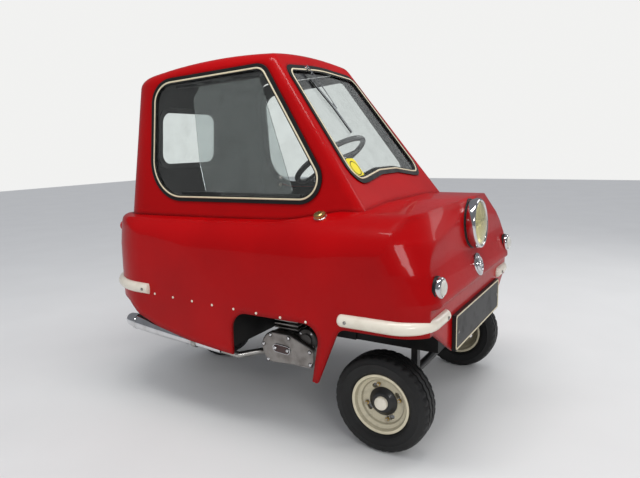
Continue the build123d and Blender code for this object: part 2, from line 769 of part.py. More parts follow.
# Steering column and wheel
COLUMN = Plane(origin=WHEEL_CENTRE, x_dir=(1, 0, 0),
               z_dir=(0, math.sin(math.radians(WHEEL_TILT)), math.cos(math.radians(WHEEL_TILT))))
with BuildPart() as steering_column:
    with BuildSketch(COLUMN.offset(-720)):
        Circle(COLUMN_R)
    extrude(amount=690)
    with BuildSketch(COLUMN.offset(-110)):
        Circle(SHAFT_R + RUNNING)
    extrude(amount=90, mode=Mode.SUBTRACT)
    with Locations((0, -400, FLOOR_Z - 200)):
        Box(300, 600, 400, mode=Mode.SUBTRACT)
export(steering_column.part, "steering_column")
with BuildPart() as steering_wheel:
    with BuildSketch(Plane(origin=WHEEL_CENTRE, x_dir=(1, 0, 0), z_dir=COLUMN.y_dir)):
        with Locations((WHEEL_RIM_R, 0)):
            Circle(WHEEL_SECTION_R)
    revolve(axis=Axis(WHEEL_CENTRE, COLUMN.z_dir))
    with BuildSketch(COLUMN.offset(-18)):
        Circle(24)
    extrude(amount=22)
    with BuildSketch(COLUMN.offset(-8)):
        with PolarLocations(0, 3, start_angle=90):
            with Locations((WHEEL_RIM_R / 2, 0)):
                Rectangle(WHEEL_RIM_R, 20)
    extrude(amount=6)
    with BuildSketch(COLUMN.offset(-95)):
        Circle(SHAFT_R)
    extrude(amount=90)
export(steering_wheel.part, "steering_wheel")

# Dash under the windscreen, with the bracket that holds the column
with BuildPart() as dash:
    with Locations((0, -370, 666)):
        Box(860, 64, 52)
    with Locations((0, -285, 655)):
        Box(44, 130, 12)
    add(HULLS[WALL], mode=Mode.INTERSECT)
    add(steering_column.part, mode=Mode.SUBTRACT)
export(dash.part, "dash")

# Outline of the engine's side cover: y, z, corner radius
ENGINE_COVER = [
    (-42, 262, 50),
    (-74, 306, 46),
    (-160, 304, 60),
    (-250, 268, 26),
    (-248, 208, 26),
    (-60, 196, 44),
]

# Engine: crankcase with its side cover, finned barrel up to the box over it
with BuildPart() as engine:
    with Locations((-320, -145, 240)):
        Box(100, 170, 84)
    with BuildSketch(Plane.YZ.offset(-384)):
        with BuildLine():
            FilletPolyline(points(ENGINE_COVER), radius=radii(ENGINE_COVER), close=True)
        make_face()
    extrude(amount=20)
    fillet(engine.faces().filter_by(Axis.X).sort_by(Axis.X)[0].edges(), 6)
    with BuildSketch(Plane.YZ.offset(-386)):
        with Locations((-128, 251)):
            SlotOverall(66, 26, rotation=4)
    extrude(amount=3)
    with Locations((-310, -130, 330)):
        Cylinder(30, 124)
    for step in range(6):
        with Locations((-310, -130, 300 + step * 13)):
            Box(92, 92, 4)
export(engine.part, "engine")
with BuildPart() as exhaust_pipe:
    with BuildLine() as route:
        FilletPolyline((-330, -60, 232), (-330, -20, 210), (-400, 40, 206), (-425, 92, 224), radius=20)
    with BuildSketch(Plane(origin=route.line @ 0, z_dir=route.line % 0)):
        Circle(11)
    sweep(path=route.line)
    add(engine.part, mode=Mode.SUBTRACT)
export(exhaust_pipe.part, "exhaust_pipe")
SILENCER = Plane(origin=(-425, 92, 224), x_dir=(1, 0, 0), z_dir=(0, 0.9945, 0.1045))
# Silencer: how far along it, its radius there
SILENCER_ROWS = [(0, 13), (300, 27), (405, 29), (452, 22)]
with BuildPart() as silencer:
    for (along, r), (next_along, next_r) in zip(SILENCER_ROWS, SILENCER_ROWS[1:]):
        with BuildSketch(SILENCER.offset(along)):
            Circle(r)
        with BuildSketch(SILENCER.offset(next_along)):
            Circle(next_r)
        loft(ruled=True)
    with BuildSketch(SILENCER.offset(452)):
        SlotOverall(30, 12)
    extrude(amount=-30, mode=Mode.SUBTRACT)
    with Locations((-425, 110, 242)):
        Box(26, 16, 44)
    add(cabin_space(SHEET), mode=Mode.SUBTRACT)
    add(exhaust_pipe.part, mode=Mode.SUBTRACT)
export(silencer.part, "silencer")

# Door handle and hinges
with BuildPart() as door_handle:
    with Locations((460, -262, 585)):
        Box(60, 24, 24)
    with Locations((490, -222, 585)):
        Box(8, 104, 16)
    add(HULLS[0.0], mode=Mode.SUBTRACT)
export(door_handle.part, "door_handle")
with BuildPart() as hinge_pins:
    for z in HINGE_HEIGHTS:
        with Locations((HINGE_X - 9, HINGE_Y + 12, z)):
            Box(18, 24, 60)
        with Locations((HINGE_X - 4, HINGE_Y + 2, z)):
            Box(24, 14, 26, mode=Mode.SUBTRACT)
        for level in (z + 22, z - 22):
            with Locations((HINGE_X, HINGE_Y, level)):
                Cylinder(9, 16)
        with Locations((HINGE_X, HINGE_Y, z)):
            Cylinder(HINGE_PIN_R, 44)
    add(HULLS[0.0], mode=Mode.SUBTRACT)
export(hinge_pins.part, "hinge_pins")
with BuildPart() as hinge_leaves:
    for z in HINGE_HEIGHTS:
        with Locations((HINGE_X, HINGE_Y, z)):
            Cylinder(8, 26)
        with Locations((HINGE_X - 8, HINGE_Y - 26, z)):
            Box(16, 44, 26)
        with Locations((HINGE_X, HINGE_Y, z)):
            Cylinder(HINGE_PIN_R + RUNNING, 60, mode=Mode.SUBTRACT)
    add(HULLS[0.0], mode=Mode.SUBTRACT)
export(hinge_leaves.part, "hinge_leaves")

# Controls: pedals on the footwell's front wall, and the gear lever on the floor
with BuildPart() as controls:
    for x in (-90, 60, 130):
        with Locations((x, FOOTWELL_Y + 30, 360)):
            Box(10, 60, 10)
        with Locations((x, FOOTWELL_Y + 64, 355)):
            Box(44, 8, 62)
    fillet(controls.edges().filter_by(Axis.Y), 3)
    with BuildSketch(Plane.XY.offset(FLOOR_Z)):
        with Locations((-195, -150)):
            Circle(12)
    extrude(amount=10)
    with BuildSketch(Plane.XY.offset(FLOOR_Z)):
        with Locations((-195, -150)):
            Circle(5)
    extrude(amount=250)
    with Locations((-195, -150, FLOOR_Z + 262)):
        Sphere(17)
export(controls.part, "controls")
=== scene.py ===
# %% [markdown]
# # Dressing a small three-wheeled car
# The car's hard parts come from a CAD model that is already in place. This lesson loads it, gives every part
# a finish made of nodes, and adds the small pieces that catch the eye: treads, trims, rivets, lenses, cushions.
# Everything is in metres: nose towards -Y, the driver's left towards +X, up +Z.

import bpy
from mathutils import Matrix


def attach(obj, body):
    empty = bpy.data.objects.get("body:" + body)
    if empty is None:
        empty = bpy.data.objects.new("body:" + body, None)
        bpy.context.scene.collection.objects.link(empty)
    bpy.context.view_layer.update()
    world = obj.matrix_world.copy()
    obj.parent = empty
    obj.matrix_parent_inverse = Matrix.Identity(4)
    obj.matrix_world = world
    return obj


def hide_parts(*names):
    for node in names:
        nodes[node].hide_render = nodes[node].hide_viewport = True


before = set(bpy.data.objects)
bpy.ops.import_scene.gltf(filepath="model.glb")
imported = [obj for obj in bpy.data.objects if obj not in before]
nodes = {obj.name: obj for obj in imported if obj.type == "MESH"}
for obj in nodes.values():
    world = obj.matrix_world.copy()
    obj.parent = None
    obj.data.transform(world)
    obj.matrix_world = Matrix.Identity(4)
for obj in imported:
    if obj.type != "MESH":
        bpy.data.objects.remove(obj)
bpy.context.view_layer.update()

# %% [markdown]
# ## Tools of the trade
# bpy is Blender itself, bmesh edits meshes, mathutils has its vectors, and a BVH tree finds where a ray meets
# a surface. That last one lets us lay trim on a curved panel without knowing its formula.

# %% Bring in Blender's own tools
import math

import bmesh
import bpy
from mathutils import Matrix, Vector
from mathutils.bvhtree import BVHTree

LEFT, REAR, UP = Vector((1, 0, 0)), Vector((0, 1, 0)), Vector((0, 0, 1))

# %% [markdown]
# ## Shader sums as plain Python
# A material in Blender is a net of nodes, and its maths reads badly as a list of links. Here one small class
# wraps a node's output, so that an ordinary sum such as 1 - mask adds the Math nodes for us. Colours never go
# through Math, which would turn them grey: they have a Mix node of their own.


# %% A socket that can stand in a sum
class Socket:
    """A node's output. Sums on it add Math nodes to its paint."""

    def __init__(self, paint, socket):
        self.paint = paint
        self.socket = socket

    def maths(self, operation, *values):
        return self.paint.node("ShaderNodeMath", {"operation": operation}, dict(enumerate(values)))

    def __add__(self, other):
        return self.maths("ADD", self, other)

    def __radd__(self, other):
        return self.maths("ADD", other, self)

    def __rsub__(self, other):
        return self.maths("SUBTRACT", other, self)

    def __mul__(self, other):
        return self.maths("MULTIPLY", self, other)

    def __lt__(self, other):
        return self.maths("LESS_THAN", self, other)


# %% A paint: one material and the nodes in it
class Paint:
    """A material under its name, or the world, built up node by node."""

    def __init__(self, name, world=None):
        self.material = world or bpy.data.materials.new(name)
        self.material.use_nodes = True
        self.tree = self.material.node_tree
        self.tree.nodes.clear()

    def node(self, kind, settings=None, sockets=None, out=0):
        """Adds a node: its settings first, then the values or links of its sockets."""
        made = self.tree.nodes.new(kind)
        for key, value in (settings or {}).items():
            setattr(made, key, value)
        for key, value in (sockets or {}).items():
            if isinstance(value, Socket):
                self.tree.links.new(value.socket, made.inputs[key])
            else:
                made.inputs[key].default_value = value
        return Socket(self, made.outputs[out]) if made.outputs else None


# %% [markdown]
# ## Words for what paints share
# Nearly every finish needs the same few things: a colour given as it looks on screen, noise at a stated size,
# a blend of two colours, a bump, and the final shader. Named once, they keep each paint to a few lines.


# %% Helpers for paints
def screen_colour(red, green, blue):
    """A colour as seen on screen, 0 to 255, as the linear colour that shaders use."""
    parts = [value / 255 for value in (red, green, blue)]
    return tuple(p / 12.92 if p <= 0.04045 else ((p + 0.055) / 1.055) ** 2.4 for p in parts) + (1.0,)


def noise(paint, size, detail=3.0):
    """Soft random cloud with patches of about that size in metres, from 0 to 1."""
    place = paint.node("ShaderNodeTexCoord", out=3)
    return paint.node("ShaderNodeTexNoise", {}, {"Vector": place, "Scale": 1 / size, "Detail": detail})


def blend(paint, first, second, share):
    """A colour between two, each as seen on screen, by a share from 0 to 1."""
    first, second = (colour if isinstance(colour, Socket) else screen_colour(*colour) for colour in (first, second))
    return paint.node("ShaderNodeMix", {"data_type": "RGBA"}, {0: share, 6: first, 7: second}, out=2)


def bump(paint, height, depth, soften=0.0):
    """A surface's normal, raised by height times depth in metres, its creases softened over a distance."""
    sockets = {"Height": height, "Distance": depth, "Strength": 1.0}
    if soften:
        sockets["Normal"] = paint.node("ShaderNodeBevel", {"samples": 6}, {"Radius": soften})
    return paint.node("ShaderNodeBump", {}, sockets)


def sharpen(value, low, high):
    """A soft value pulled apart, so that low becomes 0 and high becomes 1."""
    return value.paint.node("ShaderNodeMapRange", {}, {0: value, 1: low, 2: high})


def finish_paint(paint, **sockets):
    """Ends a paint with its shader and gives back the material."""
    values = {name.replace("_", " "): value for name, value in sockets.items()}
    shader = paint.node("ShaderNodeBsdfPrincipled", {}, values)
    paint.node("ShaderNodeOutputMaterial", {}, {0: shader})
    return paint.material


# %% [markdown]
# ## Red gloss on hand-laid moulding
# The body is coloured gloss over glass fibre. Real mouldings like this are never dead flat: the surface waves
# a little, and the gloss has a fine orange-peel. The inside of the shell is painted black. The shell is one
# CAD part, so the paint itself must tell inside from outside: on an outer face the normal points away from
# the middle of the car, on an inner face towards it. That is one dot product. Place and normal are both the
# object's own, so that the door keeps its colours when it swings. A moulding also has no sharp creases, so a
# Bevel node rounds the look of each crease over three centimetres.


# %% Red gloss outside, black inside
CAR_MIDDLE = (0.0, 0.05, 0.6)


def body_paint():
    paint = Paint("red_gloss")
    ripple = noise(paint, 0.16, 1.0) * 0.6 + noise(paint, 0.0016, 1.0) * 0.0045
    place = paint.node("ShaderNodeTexCoord", out=3)
    outward = paint.node("ShaderNodeVectorMath", {"operation": "SUBTRACT"}, {0: place, 1: CAR_MIDDLE})
    facing = paint.node("ShaderNodeTexCoord", out=1)
    turned = paint.node("ShaderNodeVectorMath", {"operation": "DOT_PRODUCT"}, {0: outward, 1: facing}, out=1)
    inside = turned < 0.0
    fade = sharpen(noise(paint, 0.3, 4.0), 0.35, 0.75)
    red = blend(paint, (176, 1, 5), (156, 1, 4), fade)
    black = (17, 16, 16)
    wear = sharpen(noise(paint, 0.02, 6.0), 0.45, 0.8)
    return finish_paint(
        paint,
        Base_Color=blend(paint, red, black, inside),
        Roughness=0.3 + wear * 0.06 + inside * 0.4,
        Coat_Weight=0.22 - inside * 0.21,
        Coat_Roughness=0.02,
        Specular_IOR_Level=0.06,
        Normal=bump(paint, ripple, 0.0012, 0.03),
    )


red_gloss = body_paint()
print("made", red_gloss.name)

# %% [markdown]
# ## Rubber, old and new
# Window rubber is smooth and faintly grey where it has aged. Tyre rubber is rougher, with road dust in it.


# %% Rubber
def rubber_paint(name, shade, dust, grain):
    paint = Paint(name)
    cloud = sharpen(noise(paint, 0.05, 5.0), 0.4, 0.8)
    pores = noise(paint, grain, 4.0)
    colour = blend(paint, shade, dust, cloud * 0.35)
    return finish_paint(
        paint, Base_Color=colour, Roughness=0.5 + cloud * 0.25, Normal=bump(paint, pores, 0.0003)
    )


gasket_rubber = rubber_paint("gasket_rubber", (9, 9, 9), (26, 25, 25), 0.003)
tyre_rubber = rubber_paint("tyre_rubber", (10, 10, 10), (36, 34, 31), 0.0012)
print("made", gasket_rubber.name, tyre_rubber.name)

# %% [markdown]
# ## Painted and moulded parts
# Cream wheels and bumpers, the black tub, frame steel and the dark plastic of the steering wheel are all the
# same recipe with other numbers: a colour with faint soiling, some gloss, and grain at the right size. The
# wheels also darken where walls stand close round a place, as in their wells: painted shade together with dirt
# that gathers there. An Ambient Occlusion node measures how open each place is, and the closed ones go darker.


# %% Plain painted finishes
def coated_paint(name, colour, soil_and_shade, rough, coat, grain, depth, patch=0.04, dirt_and_shade_reach=0.0):
    """A painted finish with soiled patches. The last argument is how far, in metres, walls round a place darken it
    with painted shade and gathered dirt.
    """
    paint = Paint(name)
    grime_and_shade = sharpen(noise(paint, patch, 6.0), 0.5, 0.85)
    # Painted shade with dirt: closed-in places, found by Ambient Occlusion, darken towards the soil colour.
    if dirt_and_shade_reach:
        open_share = paint.node("ShaderNodeAmbientOcclusion", {"samples": 8}, {"Distance": dirt_and_shade_reach}, out=1)
        grime_and_shade = grime_and_shade * 0.5 + sharpen(open_share, 0.92, 0.55) * 1.5
    return finish_paint(
        paint,
        Base_Color=blend(paint, colour, soil_and_shade, grime_and_shade * 0.45),
        Roughness=rough + grime_and_shade * 0.15,
        Coat_Weight=coat,
        Coat_Roughness=0.08,
        Normal=bump(paint, noise(paint, grain, 3.0), depth),
    )


bumper_cream = coated_paint("bumper_cream", (232, 224, 206), (186, 172, 146), 0.3, 0.5, 0.03, 0.0006)
# Wheel cream darkens in the wheels' wells: painted shade with dirt.
wheel_cream = coated_paint("wheel_cream", (222, 212, 182), (64, 54, 34), 0.32, 0.4, 0.01, 0.0002, 0.02, 0.11)
tub_black = coated_paint("tub_black", (22, 21, 21), (52, 48, 44), 0.6, 0.0, 0.004, 0.0003)
frame_black = coated_paint("frame_black", (24, 24, 25), (60, 50, 42), 0.42, 0.2, 0.006, 0.0002)
wheel_plastic = coated_paint("wheel_plastic", (62, 62, 64), (38, 37, 36), 0.38, 0.2, 0.002, 0.00006)
plate_dark = coated_paint("plate_dark", (8, 8, 8), (26, 23, 19), 0.45, 0.0, 0.004, 0.00008)
cream_trim = coated_paint("cream_trim", (216, 204, 172), (160, 146, 112), 0.4, 0.1, 0.01, 0.0001, 0.02)
print("materials so far:", len(bpy.data.materials))

# %% [markdown]
# ## Metals
# Chrome is almost a mirror, so its look comes from smudges and a hint of cloudiness. Cast alloy is rough and
# grained. Steel fasteners sit in between.


# %% Metals
def metal_paint(name, colour, dull, rough, spread, grain, depth):
    paint = Paint(name)
    smudge = sharpen(noise(paint, 0.03, 6.0), 0.42, 0.8)
    return finish_paint(
        paint,
        Base_Color=blend(paint, colour, dull, smudge * 0.5),
        Metallic=1.0,
        Roughness=rough + smudge * spread,
        Normal=bump(paint, noise(paint, grain, 4.0), depth),
    )


chrome = metal_paint("chrome", (222, 222, 224), (172, 170, 166), 0.05, 0.14, 0.02, 0.00006)
cast_alloy = metal_paint("cast_alloy", (156, 152, 148), (96, 84, 78), 0.38, 0.25, 0.0012, 0.00022)
steel = metal_paint("steel", (178, 176, 172), (120, 110, 98), 0.26, 0.25, 0.002, 0.00008)
brass = metal_paint("brass", (206, 176, 112), (140, 110, 64), 0.2, 0.25, 0.003, 0.00008)
print("made metals")

# %% [markdown]
# ## Glass and lenses
# Panes are clear with a faint green, and let light through by transmission. Lens plastic is tinted. The
# sliding pane is scratched acrylic, so it is a little cloudy.


# %% Glass and lenses
GLASS_IOR = 1.45


def clear_paint(name, colour, rough, cloud, clear=1.0):
    paint = Paint(name)
    clean = screen_colour(*colour)
    dull = tuple(0.92 * channel for channel in clean[:3]) + (1.0,)
    haze = sharpen(noise(paint, 0.05, 5.0), 0.45, 0.85)
    return finish_paint(
        paint,
        Base_Color=paint.node("ShaderNodeMix", {"data_type": "RGBA"}, {0: haze, 6: clean, 7: dull}, out=2),
        Roughness=rough + haze * cloud,
        Transmission_Weight=clear,
        IOR=GLASS_IOR,
    )


window_glass = clear_paint("window_glass", (242, 246, 245), 0.0, 0.01)
acrylic = clear_paint("acrylic", (214, 220, 220), 0.02, 0.06, 0.9)
headlamp_glass = clear_paint("headlamp_glass", (250, 244, 204), 0.03, 0.05, 0.9)
pearl_lens = clear_paint("pearl_lens", (238, 236, 226), 0.16, 0.08, 0.35)
red_lens = clear_paint("red_lens", (214, 20, 22), 0.1, 0.06, 0.4)
print("made glass and lenses")

# %% [markdown]
# ## Finish for every CAD part
# Each CAD part keeps its shape and takes a better material in its slots.

# %% Paint the CAD parts
FINISHES = [
    (red_gloss, "body_shell door_panel"),
    (tub_black, "tub dash seat"),
    (window_glass, "windscreen_glass right_window_glass rear_window_glass door_window_glass"),
    (acrylic, "sliding_pane"),
    (gasket_rubber, "pane_rails windscreen_rubber right_window_rubber rear_window_rubber door_window_rubber"),
    (chrome, "headlamp_rim side_lamps nose_boss wiper silencer door_handle"),
    (headlamp_glass, "headlamp_lens"),
    (red_lens, "rear_lamps"),
    (plate_dark, "number_plate"),
    (bumper_cream, "front_bumpers rear_bumpers"),
    (brass, "filler_cap"),
    (frame_black, "front_axle knuckle_left knuckle_right rear_fork steering_column controls"),
    (wheel_plastic, "steering_wheel"),
    (cast_alloy, "engine"),
    (steel, "exhaust_pipe hinge_pins hinge_leaves"),
    (tyre_rubber, "tyre_front_left tyre_front_right tyre_rear"),
    (wheel_cream, "rim_front_left rim_front_right rim_rear"),
]
for material, names in FINISHES:
    for name in names.split():
        for slot in nodes[name].material_slots:
            slot.material = material
print("painted", len(nodes), "CAD parts")

# %% [markdown]
# ## Two ways to make a round part
# Most small parts of a car are turned: caps, lamps, nuts, tyres. A turned part is a list of points, each
# how far along its axis and how far out, swept round the axis. Pieces that aren't round are built from plain
# lists of corners and faces. Both end as meshes that ride on a named body.


def mesh_piece(name, forms, material, body="car", smooth=30):
    """One piece from forms, each its corners and faces, in its finish and on its body."""
    corners, faces = [], []
    for form_corners, form_faces in forms:
        faces += [tuple(index + len(corners) for index in face) for face in form_faces]
        corners += [tuple(corner) for corner in form_corners]
    mesh = bpy.data.meshes.new(name)
    mesh.from_pydata(corners, [], faces)
    form = bmesh.new()
    form.from_mesh(mesh)
    bmesh.ops.recalc_face_normals(form, faces=form.faces)
    form.to_mesh(mesh)
    form.free()
    mesh.shade_smooth()
    mesh.set_sharp_from_angle(angle=math.radians(smooth))
    mesh.materials.append(material)
    piece = bpy.data.objects.new(name, mesh)
    bpy.context.scene.collection.objects.link(piece)
    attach(piece, body)
    return piece


# %% Forms made of rings, and turned forms
def angles(steps):
    """The angle of each of so many even steps round a circle."""
    return [2 * math.pi * step / steps for step in range(steps)]


def ring_form(rings, closed=False):
    """Corners and faces of rings with as many corners each. Closed joins the last ring to the first, and else
    both ends are shut."""
    count, steps = len(rings), len(rings[0])
    faces = []
    for row in range(count if closed else count - 1):
        here, beside = row * steps, (row + 1) % count * steps
        for step in range(steps):
            after = (step + 1) % steps
            faces.append((here + step, here + after, beside + after, beside + step))
    if not closed:
        faces += [tuple(reversed(range(steps))), tuple(range((count - 1) * steps, count * steps))]
    return [corner for ring in rings for corner in ring], faces


def axes_for(direction):
    """The direction as a unit vector, with two more at right angles to it."""
    along = Vector(direction).normalized()
    helper = UP if abs(along.z) < 0.9 else REAR
    side = along.cross(helper).normalized()
    return along, side, along.cross(side)


def turned_form(centre, direction, profile, steps=48, flutes=0, flute_depth=0.0):
    """A profile, as (along, out), turned round an axis. Flutes are grooves cut along its side."""
    along, side, up = axes_for(direction)
    rings = []
    for distance, radius in profile:
        ring = []
        for angle in angles(steps):
            out = radius - flute_depth * (0.5 - 0.5 * math.cos(angle * flutes)) * (radius > profile[0][1] * 0.8)
            ring.append(Vector(centre) + along * distance + (side * math.cos(angle) + up * math.sin(angle)) * out)
        rings.append(ring)
    return ring_form(rings)


def turned(name, centre, direction, profile, material, body="car", steps=48, smooth=30):
    """A piece turned round an axis from a profile of (along, out)."""
    return mesh_piece(name, [turned_form(centre, direction, profile, steps)], material, body, smooth)


# %% Swept forms and landings
TREES = {}


def swept_form(places, section, closed=False):
    """A section, as (across, up) in metres, swept along points with normals."""
    count = len(places)
    rings = []
    for i, (point, normal) in enumerate(places):
        before = places[i - 1][0] if closed or i else point
        after = places[(i + 1) % count][0] if closed or i < count - 1 else point
        across = (after - before).cross(normal).normalized()
        rings.append([point + across * a + normal * h for a, h in section])
    return ring_form(rings, closed)


def tree_of(mesh_object):
    """A tree of an object's faces, made once, that finds where rays meet it."""
    if mesh_object.name not in TREES:
        mesh = mesh_object.data
        TREES[mesh_object.name] = BVHTree.FromPolygons(
            [vertex.co for vertex in mesh.vertices], [face.vertices for face in mesh.polygons]
        )
    return TREES[mesh_object.name]


def land(node, start, view):
    """Where a ray meets a CAD part, and the surface's normal there."""
    return tree_of(nodes[node]).ray_cast(Vector(start), Vector(view))[:2]


# %% [markdown]
# ## Tyres
# The CAD tyre is a smooth ring. A real one has grooves you can see from across a room. We turn the same
# section again with three zigzag grooves: at each step round the tyre the groove's edges shift sideways a
# little, left, then right. Notches are cut in the shoulders at every fourth step.

# %% Tyres with tread
TYRE_SIDE = [
    (-0.029, 0.0862), (-0.03, 0.0925), (-0.035, 0.0955), (-0.0395, 0.1), (-0.0405, 0.103),
    (-0.0412, 0.103), (-0.0425, 0.108), (-0.0438, 0.115), (-0.044, 0.1225), (-0.0446, 0.1235),
    (-0.0446, 0.1255), (-0.0438, 0.1265), (-0.043, 0.132), (-0.0415, 0.1375), (-0.0395, 0.142),
]
TYRE_TREAD = [
    (-0.0375, 0.1448, 0, 1), (-0.033, 0.1475, 0, 1), (-0.029, 0.1486, 0, 1), (-0.0235, 0.1494, 1, 0),
    (-0.023, 0.1434, 1, 0), (-0.019, 0.1434, 1, 0), (-0.0185, 0.1498, 1, 0), (-0.01, 0.15, 0, 0),
    (-0.0035, 0.15, 1, 0), (-0.003, 0.144, 1, 0),
]
TREAD_STEPS = 144
WHEEL_R, ZIGZAG, NOTCH = 0.15, 0.0016, 0.0035


def tyre_rows():
    """The whole section: across, radius, share of the zigzag, and whether the shoulder notches cut it."""
    half = [(across, radius, 0, 0) for across, radius in TYRE_SIDE] + TYRE_TREAD
    return half + [(-across, radius, zig, cut) for across, radius, zig, cut in reversed(half)]


def tyre(name, x, y, body):
    rings = []
    for across, radius, zig, cut in tyre_rows():
        ring = []
        for step, angle in enumerate(angles(TREAD_STEPS)):
            shift = zig * (ZIGZAG if step // 2 % 2 else -ZIGZAG)
            out = radius - (NOTCH if cut and step % 4 == 0 else 0.0)
            ring.append((x + across + shift, y + out * math.cos(angle), WHEEL_R + out * math.sin(angle)))
        rings.append(ring)
    piece = mesh_piece("tread_" + name, [ring_form(rings, True)], tyre_rubber, body, 35)
    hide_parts("tyre_" + name)
    return piece


WHEELS = [
    ("front_left", 0.373, -0.49, "wheel_front_left", 1),
    ("front_right", -0.373, -0.49, "wheel_front_right", -1),
    ("rear", 0.0, 0.47, "wheel_rear", -1),
]
for name, x, y, body, hand in WHEELS:
    print(name, "tyre faces:", len(tyre(name, x, y, body).data.polygons))

# %% [markdown]
# ## Hubs, bolts and caps
# The wheel's disc carries four bolts, a black hub cover and a plain domed cap. Nuts are six-sided, which is
# what makes them read as nuts, so they are turned with six steps and a smooth round washer under each.


# %% Wheel fittings
BOLT_CIRCLE = 0.054
HUB_COVER = [
    (0.007, 0.044), (0.009, 0.0435), (0.011, 0.04), (0.018, 0.033), (0.0205, 0.03), (0.0215, 0.025),
    (0.0215, 0.016),
]
HUB_CAP = [
    (0.013, 0.0205), (0.0285, 0.0203), (0.0305, 0.0196), (0.0325, 0.0172), (0.034, 0.011), (0.0345, 0.0005),
]
BOLT_PARTS = [
    ("washer", [(0.005, 0.0082), (0.0072, 0.0082), (0.0078, 0.0076)], steel, 24, 30),
    ("nut", [(0.007, 0.0062), (0.0125, 0.0062), (0.0132, 0.0054)], brass, 6, 20),
    ("stud", [(0.012, 0.003), (0.0155, 0.003), (0.016, 0.0024)], steel, 16, 30),
]


def wheel_fittings(name, x, y, body, hand):
    out, middle = LEFT * hand, Vector((x, y, WHEEL_R))
    turned("hub_cover_" + name, middle, out, HUB_COVER, frame_black, body)
    turned("hub_cap_" + name, middle, out, HUB_CAP, bumper_cream, body)
    for turn in range(4):
        angle = math.radians(75 + 90 * turn)
        spot = middle + Vector((0, math.cos(angle), math.sin(angle))) * BOLT_CIRCLE
        for part, profile, material, steps, smooth in BOLT_PARTS:
            turned("%s_%s_%d" % (part, name, turn), spot, out, profile, material, body, steps, smooth)


for name, x, y, body, hand in WHEELS:
    wheel_fittings(name, x, y, body, hand)
print("wheel fittings done")

# %% [markdown]
# ## Cream strip in the window rubber
# A strip pressed into the rubber locks each window. It follows the window's rounded outline and lies on the
# rubber's curved surface. So we draw the outline flat, as corners with radii, then send a ray from each of
# its points onto the rubber and sweep a small half-round section through the points that it meets.


# %% Rounded outlines
def oblong(half_wide, half_tall, radius, across=0.0, up=0.0):
    """The four corners of an oblong, each (across, up, radius), round a middle."""
    signs = ((-1, -1), (1, -1), (1, 1), (-1, 1))
    return [(across + i * half_wide, up + j * half_tall, radius) for i, j in signs]


def rounded(corners, spacing=0.006):
    """A closed outline of corners, each (across, up, radius), as evenly spaced flat points."""
    count = len(corners)
    pieces = []
    for i in range(count):
        before, here, after = (Vector(corners[j % count][:2]) for j in (i - 1, i, i + 1))
        to_before = (before - here).normalized()
        to_after = (after - here).normalized()
        half = to_before.angle(to_after) / 2
        reach = corners[i][2] / math.tan(half)
        centre = here + (to_before + to_after).normalized() * (corners[i][2] / math.sin(half))
        first, last = here + to_before * reach, here + to_after * reach
        start = math.atan2(first.y - centre.y, first.x - centre.x)
        sweep = math.atan2(last.y - centre.y, last.x - centre.x) - start
        sweep = (sweep + math.pi) % (2 * math.pi) - math.pi
        steps = max(2, int(abs(sweep) * corners[i][2] / spacing))
        for step in range(steps + 1):
            angle = start + sweep * step / steps
            pieces.append(centre + Vector((math.cos(angle), math.sin(angle))) * corners[i][2])
    outline = []
    for i, point in enumerate(pieces):
        following = pieces[(i + 1) % len(pieces)]
        parts = max(1, int((following - point).length / (spacing * 2)))
        outline += [point.lerp(following, part / parts) for part in range(parts)]
    return outline


def onto(node, flat, view):
    """Points of a flat outline where they meet a CAD part, looking along the view, and the normals there."""
    found = []
    for point in flat:
        start = Vector((0, point.x, point.y)) if view.x else Vector((point.x, 0, point.y))
        hit, normal = land(node, start - view * 2, view)
        if hit is not None:
            found.append((hit, normal))
    return found


# %% Lay a strip along an outline
HALF_ROUND = [(-0.5, -0.3), (-0.5, 0.35), (-0.3, 0.85), (0.0, 1.0), (0.3, 0.85), (0.5, 0.35), (0.5, -0.3)]


def strip(name, places, width, height, material, body="car"):
    """A closed strip with a half-round top, along points with normals."""
    section = [(across * width, up * height) for across, up in HALF_ROUND]
    return mesh_piece(name, [swept_form(places, section, True)], material, body, 50)


SIDE_OUTLINE = [(0.43, 0.737, 0.13), (0.424, 1.134, 0.072), (-0.014, 1.163, 0.042), (-0.308, 0.742, 0.06)]
SCREEN_OUTLINE = [
    (-0.224, 1.158, 0.034), (0.0, 1.174, 0.9), (0.224, 1.158, 0.034), (0.27, 0.799, 0.04),
    (0.196, 0.803, 0.12), (0.07, 0.82, 0.14), (-0.07, 0.82, 0.14), (-0.196, 0.803, 0.12),
    (-0.27, 0.799, 0.04),
]
REAR_OUTLINE = [(-0.168, 0.838, 0.048), (-0.166, 1.056, 0.048), (0.166, 1.056, 0.048), (0.168, 0.838, 0.048)]
SEALS = [
    ("right_window", SIDE_OUTLINE, LEFT, "car"),
    ("door_window", SIDE_OUTLINE, -LEFT, "door"),
    ("windscreen", SCREEN_OUTLINE, REAR, "car"),
    ("rear_window", REAR_OUTLINE, -REAR, "car"),
]
for name, outline, view, body in SEALS:
    places = onto(name + "_rubber", rounded(outline), view)
    strip("strip_" + name, places, 0.0056, 0.0018, cream_trim, body)
    print(name, "strip follows", len(places), "points")

# %% [markdown]
# ## Headlamp
# The real lamp is a chromed bowl with a domed, fluted glass in front and a bulb inside. A solid CAD stand-in
# can't show depth through its lens, so we turn a hollow bowl in its place. The glass has a smooth outer dome and
# upright flutes on its inner face, which is how real lamp glass spreads the light.


# %% Lamp glass with flutes
def dome_height(out, radius, bulge):
    """How far a dome of that radius and bulge stands above its rim, at a distance from its axis."""
    sphere = (radius ** 2 + bulge ** 2) / (2 * bulge)
    return math.sqrt(sphere ** 2 - out ** 2) - (sphere - bulge)


